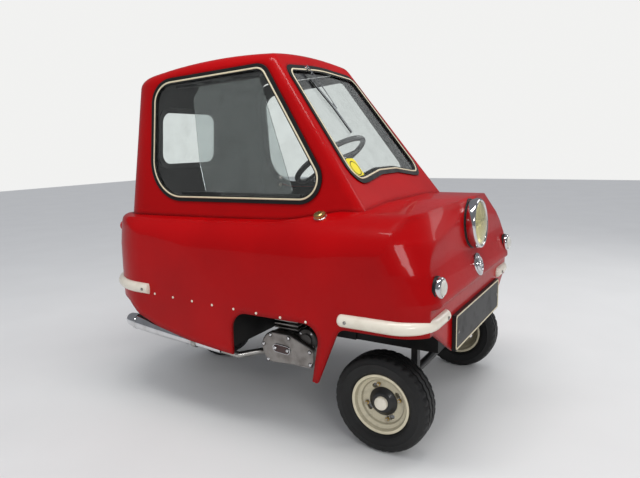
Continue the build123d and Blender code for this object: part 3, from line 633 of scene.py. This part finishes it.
def lamp_glass(name, face, direction, radius, bulge, thick, flute, material, rings=26, steps=120):
    """A domed glass, smooth outside, with upright flutes of that width inside."""
    along, side, up = axes_for(direction)
    rows = []
    for inner in (False, True):
        reach = range(1, rings + 1) if not inner else range(rings, 0, -1)
        for row in reach:
            out = radius * row / rings
            ring = []
            for angle in angles(steps):
                across, high = out * math.cos(angle), out * math.sin(angle)
                height = dome_height(out, radius, bulge)
                if inner:
                    height -= thick + 0.0009 * (0.5 - 0.5 * math.cos(2 * math.pi * across / flute))
                ring.append(Vector(face) + along * height + side * across + up * high)
            rows.append(ring)
    return mesh_piece(name, [ring_form(rows)], material, smooth=40)


# %% Headlamp bowl, glass, bulb and seating ring
LEAN = math.radians(4)
LAMP_OUT = Vector((0, -math.cos(LEAN), math.sin(LEAN)))
LAMP_FACE = Vector((0, -0.664, 0.645))
BOWL = [
    (-0.04, 0.069), (-0.033, 0.074), (-0.026, 0.0775), (-0.019, 0.0798), (-0.013, 0.0809),
    (-0.006, 0.081), (-0.001, 0.0808), (0.002, 0.0798), (0.004, 0.0778), (0.0046, 0.0752),
    (0.004, 0.0728), (0.0022, 0.0712), (-0.001, 0.0706), (-0.0075, 0.069), (-0.014, 0.06),
    (-0.02, 0.044), (-0.0232, 0.026), (-0.024, 0.013),
]
bowl = turned("headlamp_bowl", LAMP_FACE, LAMP_OUT, BOWL, chrome, "car", 96, 50)
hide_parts("headlamp_rim")
glass = lamp_glass(
    "headlamp_glass", LAMP_FACE + LAMP_OUT * 0.001, LAMP_OUT, radius=0.0704, bulge=0.014, thick=0.0035,
    flute=0.0075, material=headlamp_glass,
)
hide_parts("headlamp_lens")
BULB = [
    (0.0, 0.01), (0.005, 0.01), (0.007, 0.009), (0.01, 0.0105), (0.014, 0.0112), (0.018, 0.01),
    (0.0205, 0.0065), (0.0214, 0.001),
]
turned("headlamp_bulb", LAMP_FACE - LAMP_OUT * 0.0245, LAMP_OUT, BULB, pearl_lens, "car", 24)
SEATING_R = 0.0785
_, lamp_side, lamp_up = axes_for(LAMP_OUT)
seat_ring = []
for angle in angles(96):
    around = lamp_side * math.cos(angle) + lamp_up * math.sin(angle)
    seat_ring.append(land("body_shell", LAMP_FACE + around * SEATING_R, -LAMP_OUT))
strip("headlamp_seating", seat_ring, 0.0062, 0.0028, gasket_rubber)
print("headlamp glass faces:", len(glass.data.polygons), "seat ring points:", len(seat_ring))

# %% [markdown]
# ## Side lamps and the boss between them
# Each side lamp is a chrome ring with a pearl dome. The boss below the headlamp is a disc in steps. All three
# are turned. Each one sits on the nose, so we first send a ray back to find how far off the skin is.

# %% Side lamps and boss
BEZEL = [
    (-0.004, 0.0296), (0.002, 0.03), (0.003, 0.0305), (0.009, 0.0303), (0.0125, 0.0292), (0.0145, 0.027),
    (0.015, 0.0252), (0.014, 0.0238), (0.011, 0.0234),
]
PEARL = [
    (0.01, 0.0232), (0.0135, 0.0232), (0.0165, 0.022), (0.0195, 0.019), (0.0215, 0.015), (0.0228, 0.01),
    (0.0234, 0.005), (0.0235, 0.0006),
]
GASKET = [(-0.006, 0.0318), (0.001, 0.0322), (0.0024, 0.0312), (0.0024, 0.029)]
SIDE_LAMP_Y, SIDE_LAMP_Z = -0.6563, 0.519
for side, x in (("right", -0.387), ("left", 0.387)):
    centre = Vector((x, SIDE_LAMP_Y, SIDE_LAMP_Z))
    skin, _ = land("body_shell", (x, -1.0, SIDE_LAMP_Z), REAR)
    back = skin.y - centre.y
    turned("side_lamp_gasket_" + side, (x, skin.y, SIDE_LAMP_Z), -REAR, GASKET, gasket_rubber)
    reach = [(-back - 0.004, 0.0296)] + BEZEL[1:]
    bezel = turned("side_lamp_bezel_" + side, centre, -REAR, reach, chrome, "car", 64, 40)
    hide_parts("side_lamps")
    turned("side_lamp_dome_" + side, centre, -REAR, PEARL, pearl_lens, "car", 48, 40)
    print(side, "side lamp stands off the skin by", round(back + PEARL[-1][0], 4))
BOSS = [
    (-0.012, 0.0376), (0.0025, 0.038), (0.0038, 0.0374), (0.0044, 0.0355), (0.005, 0.029), (0.0075, 0.0275),
    (0.0098, 0.0262), (0.0108, 0.0238), (0.0102, 0.0215), (0.0082, 0.02), (0.008, 0.012), (0.011, 0.0112),
    (0.0132, 0.0095), (0.0138, 0.006), (0.0125, 0.004), (0.0125, 0.0006),
]
skin, _ = land("body_shell", (0, -1.0, 0.508), REAR)
BOSS_LEAN = math.radians(15)
boss_out = Vector((0, -math.cos(BOSS_LEAN), math.sin(BOSS_LEAN)))
boss = turned("boss_disc", skin + boss_out * 0.001, boss_out, BOSS, chrome, "car", 64, 40)
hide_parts("nose_boss")

# %% [markdown]
# ## Screws
# A slotted screw is a washer and two half discs with a gap between, which is simpler than cutting a slot.
# The screws in the bumpers and round the engine cover's edge are set where a ray meets their part; the others stand
# at given places.


# %% Screws
def screw_forms(place, out, radius):
    """A domed screw with a slot: a base and two halves of a head."""
    along, side, up = axes_for(out)
    forms = [turned_form(place, out, [(-0.001, radius), (radius * 0.22, radius * 0.98)], 20)]
    for half in (1, -1):
        rings = []
        for height, share in ((0.1, 1.0), (0.34, 0.97), (0.52, 0.8), (0.62, 0.45)):
            ring = []
            for step in range(11):
                angle = math.radians(-80 + 16 * step)
                across = half * (0.13 + 0.85 * share * math.cos(angle))
                ring.append(Vector(place) + (along * height + side * across + up * share * math.sin(angle)) * radius)
            rings.append(ring)
        forms.append(ring_form(rings))
    return forms


def screws(name, places, radius, material, body="car"):
    """One piece of several screws, each a place and the way it faces."""
    forms = []
    for place, out in places:
        forms += screw_forms(place, out, radius)
    return mesh_piece(name, forms, material, body, 25)


# %% Screws in the bumpers' ends
FRONT_Z, REAR_Z = 0.416, 0.419
BUMPER_RAYS = [
    ("front_bumpers", (1.0, -0.424, FRONT_Z), -LEFT), ("front_bumpers", (-1.0, -0.424, FRONT_Z), LEFT),
    ("front_bumpers", (0.322, -1.0, FRONT_Z), REAR), ("front_bumpers", (-0.322, -1.0, FRONT_Z), REAR),
    ("rear_bumpers", (-1.0, 0.39, REAR_Z), LEFT), ("rear_bumpers", (1.0, 0.516, REAR_Z), -LEFT),
    ("rear_bumpers", (0.168, 1.0, REAR_Z), -REAR), ("rear_bumpers", (-0.168, 1.0, REAR_Z), -REAR),
]
bumper_screws = [land(*ray) for ray in BUMPER_RAYS]
screws("bumper_screws", bumper_screws, 0.0052, steel)
print("bumper screws:", len(bumper_screws))

# %% [markdown]
# ## Rounded ends for the bumpers
# The bumper is a strip with a half-round section, and each end closes like a fingertip. Half a ball would do if
# the section were half a circle, but it stands out a little further than half its height. So the section itself
# is repeated as it runs out, and each copy shrinks by the cosine of a turn from 0 to nearly 90 degrees.

# %% Rounded ends for the bumpers
BUMPER_OUT, BUMPER_UP = 0.0202, 0.0188


def bumper_end(place, outward, along, reach=0.014):
    """A rounded end for the half-round strip: its section, shrinking as it runs out."""
    rings = []
    for step in range(7):
        turn = math.radians(88 * step / 6)
        share, run = math.cos(turn), reach * math.sin(turn) - 0.0005
        ring = []
        for part in range(17):
            angle = math.radians(-90 + 180 * part / 16)
            across = outward * (BUMPER_OUT * math.cos(angle) * share)
            ring.append(place + along * run + across + UP * (BUMPER_UP * math.sin(angle) * share))
        rings.append(ring)
    return ring_form(rings)


ends = []
for side in (1, -1):
    ends.append(bumper_end(Vector((side * 0.475, -0.405, FRONT_Z)), LEFT * side, REAR))
    ends.append(bumper_end(Vector((side * 0.3, -0.646, FRONT_Z)), -REAR, -LEFT * side))
    ends.append(bumper_end(Vector((side * 0.15, 0.66, REAR_Z)), REAR, -LEFT * side))
ends.append(bumper_end(Vector((-0.473, 0.372, REAR_Z)), -LEFT, -REAR, 0.004))
ends.append(bumper_end(Vector((0.467, 0.5, REAR_Z)), LEFT, -REAR))
mesh_piece("bumper_ends", ends, bumper_cream, "car", 50)
print("bumper ends:", len(ends))

# %% [markdown]
# ## Rivets
# A row of rivets runs along the flank, each a low dome turned from five points. They are evenly spaced on a line
# that falls a little towards the nose, and set on the panel by a ray like the screws.

# %% Rivets along the right flank
RIVET = [(-0.001, 0.0042), (0.0006, 0.0042), (0.0016, 0.0034), (0.0023, 0.0018), (0.0025, 0.0003)]
RIVET_PITCH, RIVET_FALL = 0.09, 0.0014
rivets = []
for step in range(8):
    spot, normal = land("body_shell", (-1.0, 0.344 - RIVET_PITCH * step, 0.404 - RIVET_FALL * step), LEFT)
    if spot is not None:
        rivets.append(turned_form(spot, normal, RIVET, 20))
mesh_piece("flank_rivets", rivets, bumper_cream, "car", 40)
print("rivets:", len(rivets))

# %% [markdown]
# ## Number plate
# The plate is a plain dark sheet. Its raised rim is a thin strip swept round just inside the edge, and one
# screw holds it at each end.

# %% Plate rim and screws
PLATE_X, PLATE_Z, PLATE_FACE = 0.022, 0.342, -0.662
rim_line = rounded(oblong(0.256, 0.0515, 0.008))
rim_places = [(Vector((PLATE_X + spot.x, PLATE_FACE, PLATE_Z + spot.y)), -REAR) for spot in rim_line]
strip("plate_rim", rim_places, 0.005, 0.0018, cream_trim)
plate_spots = [(Vector((PLATE_X + x, PLATE_FACE, PLATE_Z)), -REAR) for x in (-0.235, 0.235)]
screws("plate_screws", plate_spots, 0.0055, steel)
print("plate rim points:", len(rim_places))

# %% [markdown]
# ## Wiper
# One wiper hangs from the roof's edge. The arm is a thin sprung bar that stands off the glass, and it presses
# on the middle of a blade: a chrome back over a strip of soft rubber. All are sections swept along a few
# points, given on the flat of the screen: across, up the glass, and off it.

# %% Wiper
SCREEN_OUT = Vector((0, -1, 0.743)).normalized()
SCREEN_UP = Vector((0, SCREEN_OUT.z, -SCREEN_OUT.y))
SCREEN_FOOT = Vector((0, -0.411, 0.713))


def on_screen(across, up, off):
    """A point by how far across the screen, up it from the belt, and off its outer face it lies."""
    return SCREEN_FOOT + LEFT * across + SCREEN_UP * up + SCREEN_OUT * off


def box_section(width, low, high):
    return [(-width / 2, low), (-width / 2, high), (width / 2, high), (width / 2, low)]


def bar(points, width, low, high):
    """A bar with a square section, swept along points on the screen."""
    return swept_form([(on_screen(*point), SCREEN_OUT) for point in points], box_section(width, low, high))


PIVOT = [(-0.001, 0.0092), (0.003, 0.0092), (0.0042, 0.007), (0.01, 0.0068), (0.0108, 0.005), (0.011, 0.0005)]
ARM_LINE = [
    (-0.1045, 0.572, 0.0105), (-0.103, 0.548, 0.0125), (-0.099, 0.5, 0.0125), (-0.0955, 0.45, 0.0115),
    (-0.092, 0.398, 0.009),
]
BLADE_LINE = [
    (-0.122, 0.52, 0.0), (-0.1075, 0.46, 0.0), (-0.092, 0.398, 0.0), (-0.088, 0.345, 0.0),
    (-0.084, 0.29, 0.0),
]
wiper_arm = mesh_piece("wiper_arm", [
    turned_form(on_screen(-0.104, 0.566, 0.003), SCREEN_OUT, PIVOT, 32),
    bar([(-0.1042, 0.574, 0.0085), (-0.103, 0.54, 0.0085)], 0.0095, 0.0, 0.0052),
    bar(ARM_LINE, 0.0042, 0.0, 0.0018),
    bar([(-0.0965, 0.409, 0.0), (-0.0895, 0.388, 0.0)], 0.0075, 0.0052, 0.0102),
], chrome)
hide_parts("wiper")
mesh_piece("wiper_blade_back", [bar(BLADE_LINE, 0.005, 0.003, 0.0055)], chrome)
mesh_piece("wiper_rubber", [bar(BLADE_LINE, 0.0026, -0.0018, 0.0032)], gasket_rubber)
print("wiper blade length:", round((on_screen(*BLADE_LINE[0]) - on_screen(*BLADE_LINE[-1])).length, 3))

# %% [markdown]
# ## Sticker
# A plain yellow label with a dark ring is stuck behind the screen's lower corner. It is flat, so its outline is
# enough: a thin rounded patch, and a ring swept on it.

# %% Sticker
label_yellow = coated_paint("label_yellow", (232, 214, 20), (196, 176, 24), 0.5, 0.0, 0.01, 0.00005)
label_ink = coated_paint("label_ink", (38, 36, 24), (66, 62, 36), 0.5, 0.0, 0.01, 0.00005)
patch = rounded(oblong(0.03, 0.037, 0.012, -0.214, 0.151))
patch_rings = [[on_screen(spot.x, spot.y, off) for spot in patch] for off in (-0.0019, -0.0015)]
mesh_piece("label_patch", [ring_form(patch_rings)], label_yellow)
ring_places = [
    (on_screen(-0.213 + 0.024 * math.cos(angle), 0.15 + 0.026 * math.sin(angle), -0.0015), SCREEN_OUT)
    for angle in angles(48)
]
mesh_piece("label_ring", [swept_form(ring_places, box_section(0.0032, -0.0001, 0.0003), True)], label_ink)
print("sticker outline points:", len(patch))

# %% [markdown]
# ## Filler cap
# A brass cap that is turned by hand, so its side has flutes for the fingers. It is turned like the rest, with
# the radius waving as it goes round. The shoulder slopes there, so the cap's axis is the skin's own normal.

# %% Filler cap
cap_place, cap_out = land("body_shell", (-0.405, -0.3, 1.0), -UP)
COLLAR = [(-0.012, 0.0196), (0.003, 0.02), (0.004, 0.018)]
turned("filler_collar", cap_place, cap_out, COLLAR, chrome)
CAP = [
    (0.003, 0.0178), (0.004, 0.0189), (0.011, 0.0189), (0.0125, 0.0172), (0.0128, 0.012), (0.014, 0.01),
    (0.0145, 0.008), (0.0145, 0.0008),
]
cap = mesh_piece("filler_cap_fluted", [turned_form(cap_place, cap_out, CAP, 160, 12, 0.0024)], brass, "car", 35)
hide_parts("filler_cap")
print("filler cap faces", tuple(round(c, 2) for c in cap_out), "from", tuple(round(c, 4) for c in cap_place))

# %% [markdown]
# ## Rear lamps
# Each rear lamp is a chrome ring round a ribbed red lens. The ribs are the same waves that flute the cap, now
# along the profile instead of round it.

# %% Rear lamps
LENS_R, LENS_BULGE, RIB = 0.0198, 0.015, 0.0005
for side, hand in (("left", 1), ("right", -1)):
    out = Vector((hand * 0.6, 0.8, 0))
    centre = Vector((hand * 0.355, 0.606, 0.617))
    skin, _ = land("body_shell", centre + out * 0.3, -out)
    depth = (skin - centre).dot(out)
    ring = [(depth - 0.006, 0.024), (0.007, 0.024), (0.01, 0.0228), (0.0108, 0.0212), (0.01, 0.02)]
    bezel = turned("rear_lamp_ring_" + side, centre, out, ring, chrome, "car", 48, 40)
    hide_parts("rear_lamps")
    lens_rows = []
    for row in range(15):
        radius = LENS_R * (1 - row / 14.5)
        height = 0.0095 + LENS_BULGE * math.sqrt(1 - (radius / 0.02) ** 2) + RIB * math.cos(row * math.pi)
        lens_rows.append((height, radius))
    turned("rear_lamp_lens_" + side, centre, out, [(0.008, LENS_R)] + lens_rows, red_lens, "car", 48, 60)
    print(side, "rear lamp: skin at", round(depth, 4))

# %% [markdown]
# ## Catches on the sliding pane
# Two knurled screws are the catch of the sliding pane, and sit on the pane itself. Their grip is made of the
# same flutes as the filler cap, only finer.

# %% Pane catches
KNURL = [(-0.001, 0.0062), (0.0012, 0.0066), (0.0016, 0.0052), (0.0055, 0.0052), (0.0064, 0.0044), (0.0066, 0.0006)]
catches = []
for z in (0.785, 0.808):
    spot, normal = land("sliding_pane", (-1.0, -0.115, z), LEFT)
    catches.append(turned_form(spot, normal, KNURL, 96, 16, 0.0009))
mesh_piece("pane_catches", catches, steel, "car", 35)
print("pane catches:", len(catches))

# %% [markdown]
# ## Seat
# A padded cushion and a padded back on a plain covered base. Padding bulges where it is free and pulls in at
# its seams. So each pad starts as a slightly small block, is remeshed finely, and is blown up as cloth by air
# pressure for twenty frames. How far any point may move is capped. Then the welt, the cord sewn into the seam, is
# laid round its face.


# %% Black vinyl
def vinyl_paint():
    paint = Paint("seat_vinyl")
    place = paint.node("ShaderNodeTexCoord", out=3)
    leather = paint.node(
        "ShaderNodeTexVoronoi", {"feature": "DISTANCE_TO_EDGE"}, {"Vector": place, "Scale": 700.0}
    )
    grain = sharpen(leather, 0.0, 0.25)
    worn = sharpen(noise(paint, 0.06, 5.0), 0.45, 0.8)
    return finish_paint(
        paint,
        Base_Color=blend(paint, (26, 25, 25), (58, 54, 50), worn * 0.6),
        Roughness=0.46 + worn * 0.14,
        Normal=bump(paint, grain, 0.00006),
    )


seat_vinyl = vinyl_paint()
print("made", seat_vinyl.name)


# %% Blow up a pad
VOXEL, PRESSURE, FRAMES = 0.0065, 4.0, 20


def solid_block(centre, axes, sizes, round_by):
    """A block on its own axes, its four upright edges rounded, its top and bottom drawn in a little."""
    wide, deep, tall = (size / 2 for size in sizes)
    flat = rounded(oblong(wide, deep, round_by), 0.008)
    rings = []
    for height, share in ((-1.0, 0.95), (-0.8, 0.99), (-0.4, 1.0), (0.4, 1.0), (0.8, 0.99), (1.0, 0.95)):
        level = centre + axes[2] * tall * height
        rings.append([level + axes[0] * spot.x * share + axes[1] * spot.y * share for spot in flat])
    return ring_form(rings)


def settled_mesh(piece):
    """The piece's mesh with its modifiers applied. They are then taken off the piece."""
    graph = bpy.context.evaluated_depsgraph_get()
    mesh = bpy.data.meshes.new_from_object(piece.evaluated_get(graph))
    piece.modifiers.clear()
    return mesh


def pad(name, centre, axes, sizes, cap):
    """A padded piece: remeshed, blown up as cloth with each point's way capped, and smoothed."""
    piece = mesh_piece(name, [solid_block(centre, axes, sizes, 0.03)], seat_vinyl, smooth=60)
    remesh = piece.modifiers.new("remesh", "REMESH")
    remesh.mode = "VOXEL"
    remesh.voxel_size = VOXEL
    piece.data = settled_mesh(piece)
    before = [vertex.co.copy() for vertex in piece.data.vertices]
    cloth = piece.modifiers.new("cloth", "CLOTH")
    cloth.settings.use_pressure = True
    cloth.settings.uniform_pressure_force = PRESSURE
    cloth.settings.effector_weights.gravity = 0.0
    for frame_number in range(1, FRAMES + 1):
        bpy.context.scene.frame_set(frame_number)
    blown = settled_mesh(piece)
    bpy.context.scene.frame_set(1)
    for vertex, start, after in zip(piece.data.vertices, before, blown.vertices):
        way = after.co - start
        if way.length > cap:
            way = way.normalized() * cap
        vertex.co = start + way
    smooth = piece.modifiers.new("smooth", "SUBSURF")
    smooth.levels = smooth.render_levels = 1
    piece.data = settled_mesh(piece)
    piece.data.shade_smooth()
    piece.data.materials.clear()
    piece.data.materials.append(seat_vinyl)
    return piece


WELT_R, WELT_IN = 0.0032, 0.012


def welt(name, piece, centre, axes, sizes):
    """A round cord laid on a pad's face, just inside its edge."""
    wide, deep = sizes[0] / 2 - WELT_IN, sizes[1] / 2 - WELT_IN
    places = []
    for spot in rounded(oblong(wide, deep, 0.03), 0.01):
        start = centre + axes[0] * spot.x + axes[1] * spot.y + axes[2] * 0.3
        hit = tree_of(piece).ray_cast(start, -axes[2])[0]
        if hit is not None:
            places.append((hit, axes[2]))
    section = [(WELT_R * math.cos(angle), WELT_R * math.sin(angle) + 0.0005) for angle in angles(8)]
    mesh_piece(name, [swept_form(places, section, True)], seat_vinyl, smooth=60)


# %% Cushion, back and base
LEVEL = (LEFT, REAR, UP)
BACK_UP = Vector((0, 0.29, 0.957)).normalized()
LEANING = (-LEFT, BACK_UP, Vector((0, -BACK_UP.z, BACK_UP.y)))
CUSHION = (Vector((0, 0.052, 0.361)), LEVEL, (0.356, 0.226, 0.05))
BACKREST = (Vector((0, 0.259, 0.562)), LEANING, (0.356, 0.29, 0.04))
GIVE = 0.009
cushion = pad("seat_cushion", *CUSHION, GIVE)
backrest = pad("seat_back", *BACKREST, GIVE)
base_form = solid_block(Vector((0, 0.082, 0.3015)), LEVEL, (0.372, 0.296, 0.06), 0.01)
base = mesh_piece("seat_base", [base_form], seat_vinyl, "car", 40)
for piece in (cushion, backrest, base):
    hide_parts("seat")
welt("cushion_welt", cushion, *CUSHION)
welt("back_welt", backrest, *BACKREST)
print("cushion faces:", len(cushion.data.polygons), "back faces:", len(backrest.data.polygons))

# %% [markdown]
# ## Engine details
# The cover is held by slotted screws near its edge. A dark oval plate with a polished rim and two screws of its
# own sits in the middle, and a round cover in darker metal shows behind it. The plate's outline is a slot: two
# half circles and two straight runs, which the rounded outline gives when its corners are as round as they can be.

# %% Engine fittings
old_alloy = metal_paint("old_alloy", (84, 82, 80), (46, 42, 40), 0.45, 0.2, 0.0015, 0.0002)
oval_brown = coated_paint("oval_brown", (66, 40, 36), (34, 26, 24), 0.45, 0.2, 0.004, 0.0001)
COVER_SCREWS = [
    (-0.055, 0.258), (-0.084, 0.293), (-0.156, 0.292), (-0.236, 0.258), (-0.237, 0.216), (-0.072, 0.207),
]
cover_spots = [(land("engine", (-1.0, y, z), LEFT)[0], -LEFT) for y, z in COVER_SCREWS]
cover_spots += [(Vector((-0.3872, y, z)), -LEFT) for y, z in ((-0.152, 0.2493), (-0.104, 0.2527))]
screws("engine_screws", cover_spots, 0.0052, chrome)
SCREW_SEAT = [(-0.001, 0.0078), (0.0004, 0.0076), (0.0005, 0.006)]
seats = [turned_form(spot, out, SCREW_SEAT, 24) for spot, out in cover_spots]
mesh_piece("engine_screw_seats", seats, old_alloy)
OVAL_Y, OVAL_Z, OVAL_TURN = -0.128, 0.251, math.radians(4)


def on_cover(across, up, off):
    """A point of the oval plate, by how far along it, across it and off the cover it lies."""
    y = OVAL_Y + across * math.cos(OVAL_TURN) - up * math.sin(OVAL_TURN)
    return Vector((-off, y, OVAL_Z + across * math.sin(OVAL_TURN) + up * math.cos(OVAL_TURN)))


oval = rounded(oblong(0.033, 0.013, 0.0129), 0.002)
OVAL_LEVELS = ((0.97, 0.385), (0.97, 0.3866), (0.94, 0.387))
oval_rings = [[on_cover(spot.x * share, spot.y * share, off) for spot in oval] for share, off in OVAL_LEVELS]
mesh_piece("oval_plate", [ring_form(oval_rings)], oval_brown)
rim = [(on_cover(spot.x, spot.y, 0.386), -LEFT) for spot in oval]
strip("oval_rim", rim, 0.003, 0.0016, chrome)
ROUND_COVER = [
    (0.0, 0.037), (0.01, 0.037), (0.013, 0.034), (0.014, 0.022), (0.018, 0.02), (0.019, 0.012), (0.019, 0.001),
]
ROUND_Y, ROUND_Z, ROUND_BOLTS = -0.214, 0.29, 0.029
turned("round_cover", (-0.352, ROUND_Y, ROUND_Z), -LEFT, ROUND_COVER, old_alloy, "car", 64, 35)
round_spots = []
for turn in (40, 130, 220, 310):
    angle = math.radians(turn)
    y, z = ROUND_Y + ROUND_BOLTS * math.cos(angle), ROUND_Z + ROUND_BOLTS * math.sin(angle)
    round_spots.append((Vector((-0.3645, y, z)), -LEFT))
screws("round_cover_screws", round_spots, 0.004, chrome)
print("engine screws:", len(cover_spots) + len(round_spots))

# %% [markdown]
# ## Silencer
# A tapered chrome tube whose tail is closed but for a wide slot. Every ring of the tube has the same number of
# corners. So the last circle can turn into the slot's outline, and then run back inside as its wall.

# %% Silencer
SILENCER_FROM, SILENCER_ALONG = Vector((-0.425, 0.092, 0.224)), Vector((0, 0.9945, 0.1045))
SILENCER_UP = Vector((0, -0.1045, 0.9945))
TAPER = [
    (0.0, 0.013), (0.05, 0.0152), (0.1, 0.0176), (0.16, 0.0205), (0.22, 0.0233), (0.28, 0.0261),
    (0.33, 0.0275), (0.403, 0.0288), (0.404, 0.0298), (0.407, 0.03), (0.409, 0.029), (0.425, 0.0272),
    (0.44, 0.0248), (0.449, 0.0228), (0.452, 0.0212),
]
ROUND = 96


def silencer_ring(distance, wide, tall):
    """A ring across the silencer: a circle where it is as wide as tall, and otherwise a slot."""
    ring = []
    for angle in angles(ROUND):
        across, up = tall * math.cos(angle), tall * math.sin(angle)
        across += (wide - tall) * (1 if math.cos(angle) > 0 else -1) * min(1.0, abs(math.cos(angle)) * 4)
        ring.append(SILENCER_FROM + SILENCER_ALONG * distance + LEFT * across + SILENCER_UP * up)
    return ring


SLOT = [(0.453, 0.0165, 0.0075), (0.4525, 0.015, 0.006), (0.425, 0.0148, 0.0058)]
rings = [silencer_ring(distance, radius, radius) for distance, radius in TAPER]
rings += [silencer_ring(*ring) for ring in SLOT]
tube = mesh_piece("silencer_tube", [ring_form(rings)], chrome, "car", 40)
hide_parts("silencer")
CLIP = [(0.108, 0.0178), (0.108, 0.0212), (0.11, 0.0218), (0.124, 0.0226), (0.126, 0.022), (0.126, 0.019)]
bracket = solid_block(Vector((-0.425, 0.1205, 0.25)), LEVEL, (0.02, 0.012, 0.036), 0.003)
mesh_piece("silencer_clip", [turned_form(SILENCER_FROM, SILENCER_ALONG, CLIP), bracket], steel)
print("silencer rings:", len(rings))

# %% [markdown]
# ## Door handle
# A lever on a round plate. The lever is a row of ovals that get smaller, closed at both ends.

# %% Door handle
HANDLE_Y, HANDLE_Z, LEVER_X = -0.262, 0.585, 0.49
HANDLE_PLATE = [(0, 0.017), (0.004, 0.0168), (0.006, 0.013)]
LEVER = [
    (-0.2735, 0.3), (-0.272, 0.7), (-0.268, 1.0), (-0.25, 1.0), (-0.22, 0.82), (-0.19, 0.72),
    (-0.176, 0.7), (-0.1715, 0.5), (-0.1705, 0.2),
]
handle_skin, _ = land("door_panel", (1.0, HANDLE_Y, HANDLE_Z), -LEFT)
plate = turned_form((handle_skin.x - 0.002, HANDLE_Y, HANDLE_Z), LEFT, HANDLE_PLATE)
spindle_line = [(0, 0.008), (LEVER_X - handle_skin.x, 0.0072)]
spindle = turned_form((handle_skin.x, HANDLE_Y, HANDLE_Z), LEFT, spindle_line, 32)
lever = [
    [
        (LEVER_X + 0.004 * share * math.cos(angle), y, HANDLE_Z + 0.0078 * share * math.sin(angle))
        for angle in angles(24)
    ]
    for y, share in LEVER
]
handle = mesh_piece("door_lever", [plate, spindle, ring_form(lever)], chrome, "door", 40)
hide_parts("door_handle")
print("door handle stands off", round(LEVER_X + 0.004 - handle_skin.x, 4))

# %% [markdown]
# ## Camera
# The camera stands where the photographer stood, low at the car's right front corner. Three unit vectors
# give its turn: where it looks, its right and its up.

# %% Camera
CAMERA_PLACE = (-1.806, -1.14, 0.908)
LENS_MM, SENSOR_MM = 31.32, 36.0
YAW, PITCH, ROLL = math.radians(58.96), math.radians(9.6), math.radians(-1.34)
ahead = Vector((math.sin(YAW), math.cos(YAW), 0))
right = Vector((math.cos(YAW), -math.sin(YAW), 0))
look = ahead * math.cos(PITCH) - UP * math.sin(PITCH)
up = UP * math.cos(PITCH) + ahead * math.sin(PITCH)
turned_right = right * math.cos(ROLL) + up * math.sin(ROLL)
turned_up = up * math.cos(ROLL) - right * math.sin(ROLL)
lens = bpy.data.cameras.new("camera")
lens.lens = LENS_MM
lens.sensor_width = SENSOR_MM
camera = bpy.data.objects.new("camera", lens)
facing = Matrix((turned_right, turned_up, -look)).transposed().to_4x4()
camera.matrix_world = Matrix.Translation(CAMERA_PLACE) @ facing
bpy.context.scene.collection.objects.link(camera)
bpy.context.scene.camera = camera
print("camera looks along", tuple(round(c, 3) for c in look))

# %% [markdown]
# ## Floor and light
# A plain pale floor, three large soft lamps and a pale world. Gloss paint shows what is around it, so the
# lamps are long panels: they draw the long soft highlights along the roof and the bonnet. The world that
# mirrors see is dimmer, or its white would lie over the red like milk and leave chrome without any contrast.


# %% Floor and lamps
def floor_paint():
    paint = Paint("floor_pale")
    speck = noise(paint, 0.4, 3.0)
    colour = blend(paint, (226, 225, 222), (218, 217, 214), speck)
    return finish_paint(paint, Base_Color=colour, Roughness=0.9)


def panel_lamp(name, place, aim, size, power):
    lamp = bpy.data.lights.new(name, "AREA")
    lamp.shape = "RECTANGLE"
    lamp.size, lamp.size_y = size
    lamp.energy = power
    holder = bpy.data.objects.new(name, lamp)
    holder.location = place
    holder.rotation_euler = (Vector(aim) - Vector(place)).to_track_quat("-Z", "Y").to_euler()
    bpy.context.scene.collection.objects.link(holder)


floor_mesh = bpy.data.meshes.new("floor")
floor_mesh.from_pydata([(x, y, 0) for x, y, _ in oblong(12, 12, 0)], [], [(0, 1, 2, 3)])
floor_mesh.materials.append(floor_paint())
floor = bpy.data.objects.new("floor", floor_mesh)
bpy.context.scene.collection.objects.link(floor)
panel_lamp("lamp_top", (-0.6, -0.4, 3.2), (0, 0, 0.6), (2.4, 0.5), 42)
panel_lamp("lamp_front", (-2.6, -2.8, 2.0), (0, -0.2, 0.6), (1.2, 0.5), 24)
panel_lamp("lamp_left", (2.4, -1.8, 2.2), (0, 0, 0.7), (1.2, 1.8), 16)
print("floor and lamps placed")

# %% World
world = bpy.data.worlds.new("world")
sky = Paint("world", world)
backdrop = sky.node("ShaderNodeBackground", {}, {0: (0.93, 0.93, 0.92, 1), 1: 0.95})
room = sky.node("ShaderNodeBackground", {}, {0: (0.9, 0.93, 1.0, 1), 1: 0.72})
mirrored = sky.node("ShaderNodeBackground", {}, {0: (0.9, 0.93, 1.0, 1), 1: 0.22})
seen, clear, glossy = (
    sky.node("ShaderNodeLightPath", out="Is %s Ray" % kind) for kind in ("Camera", "Transmission", "Glossy")
)
shine = sky.node("ShaderNodeMixShader", {}, {0: glossy, 1: room, 2: mirrored})
shine = sky.node("ShaderNodeMixShader", {}, {0: seen.maths("MAXIMUM", seen, clear), 1: shine, 2: backdrop})
sky.node("ShaderNodeOutputWorld", {}, {0: shine})
bpy.context.scene.world = world
bpy.context.scene.view_settings.view_transform = "Standard"
print("world nodes:", len(sky.tree.nodes))
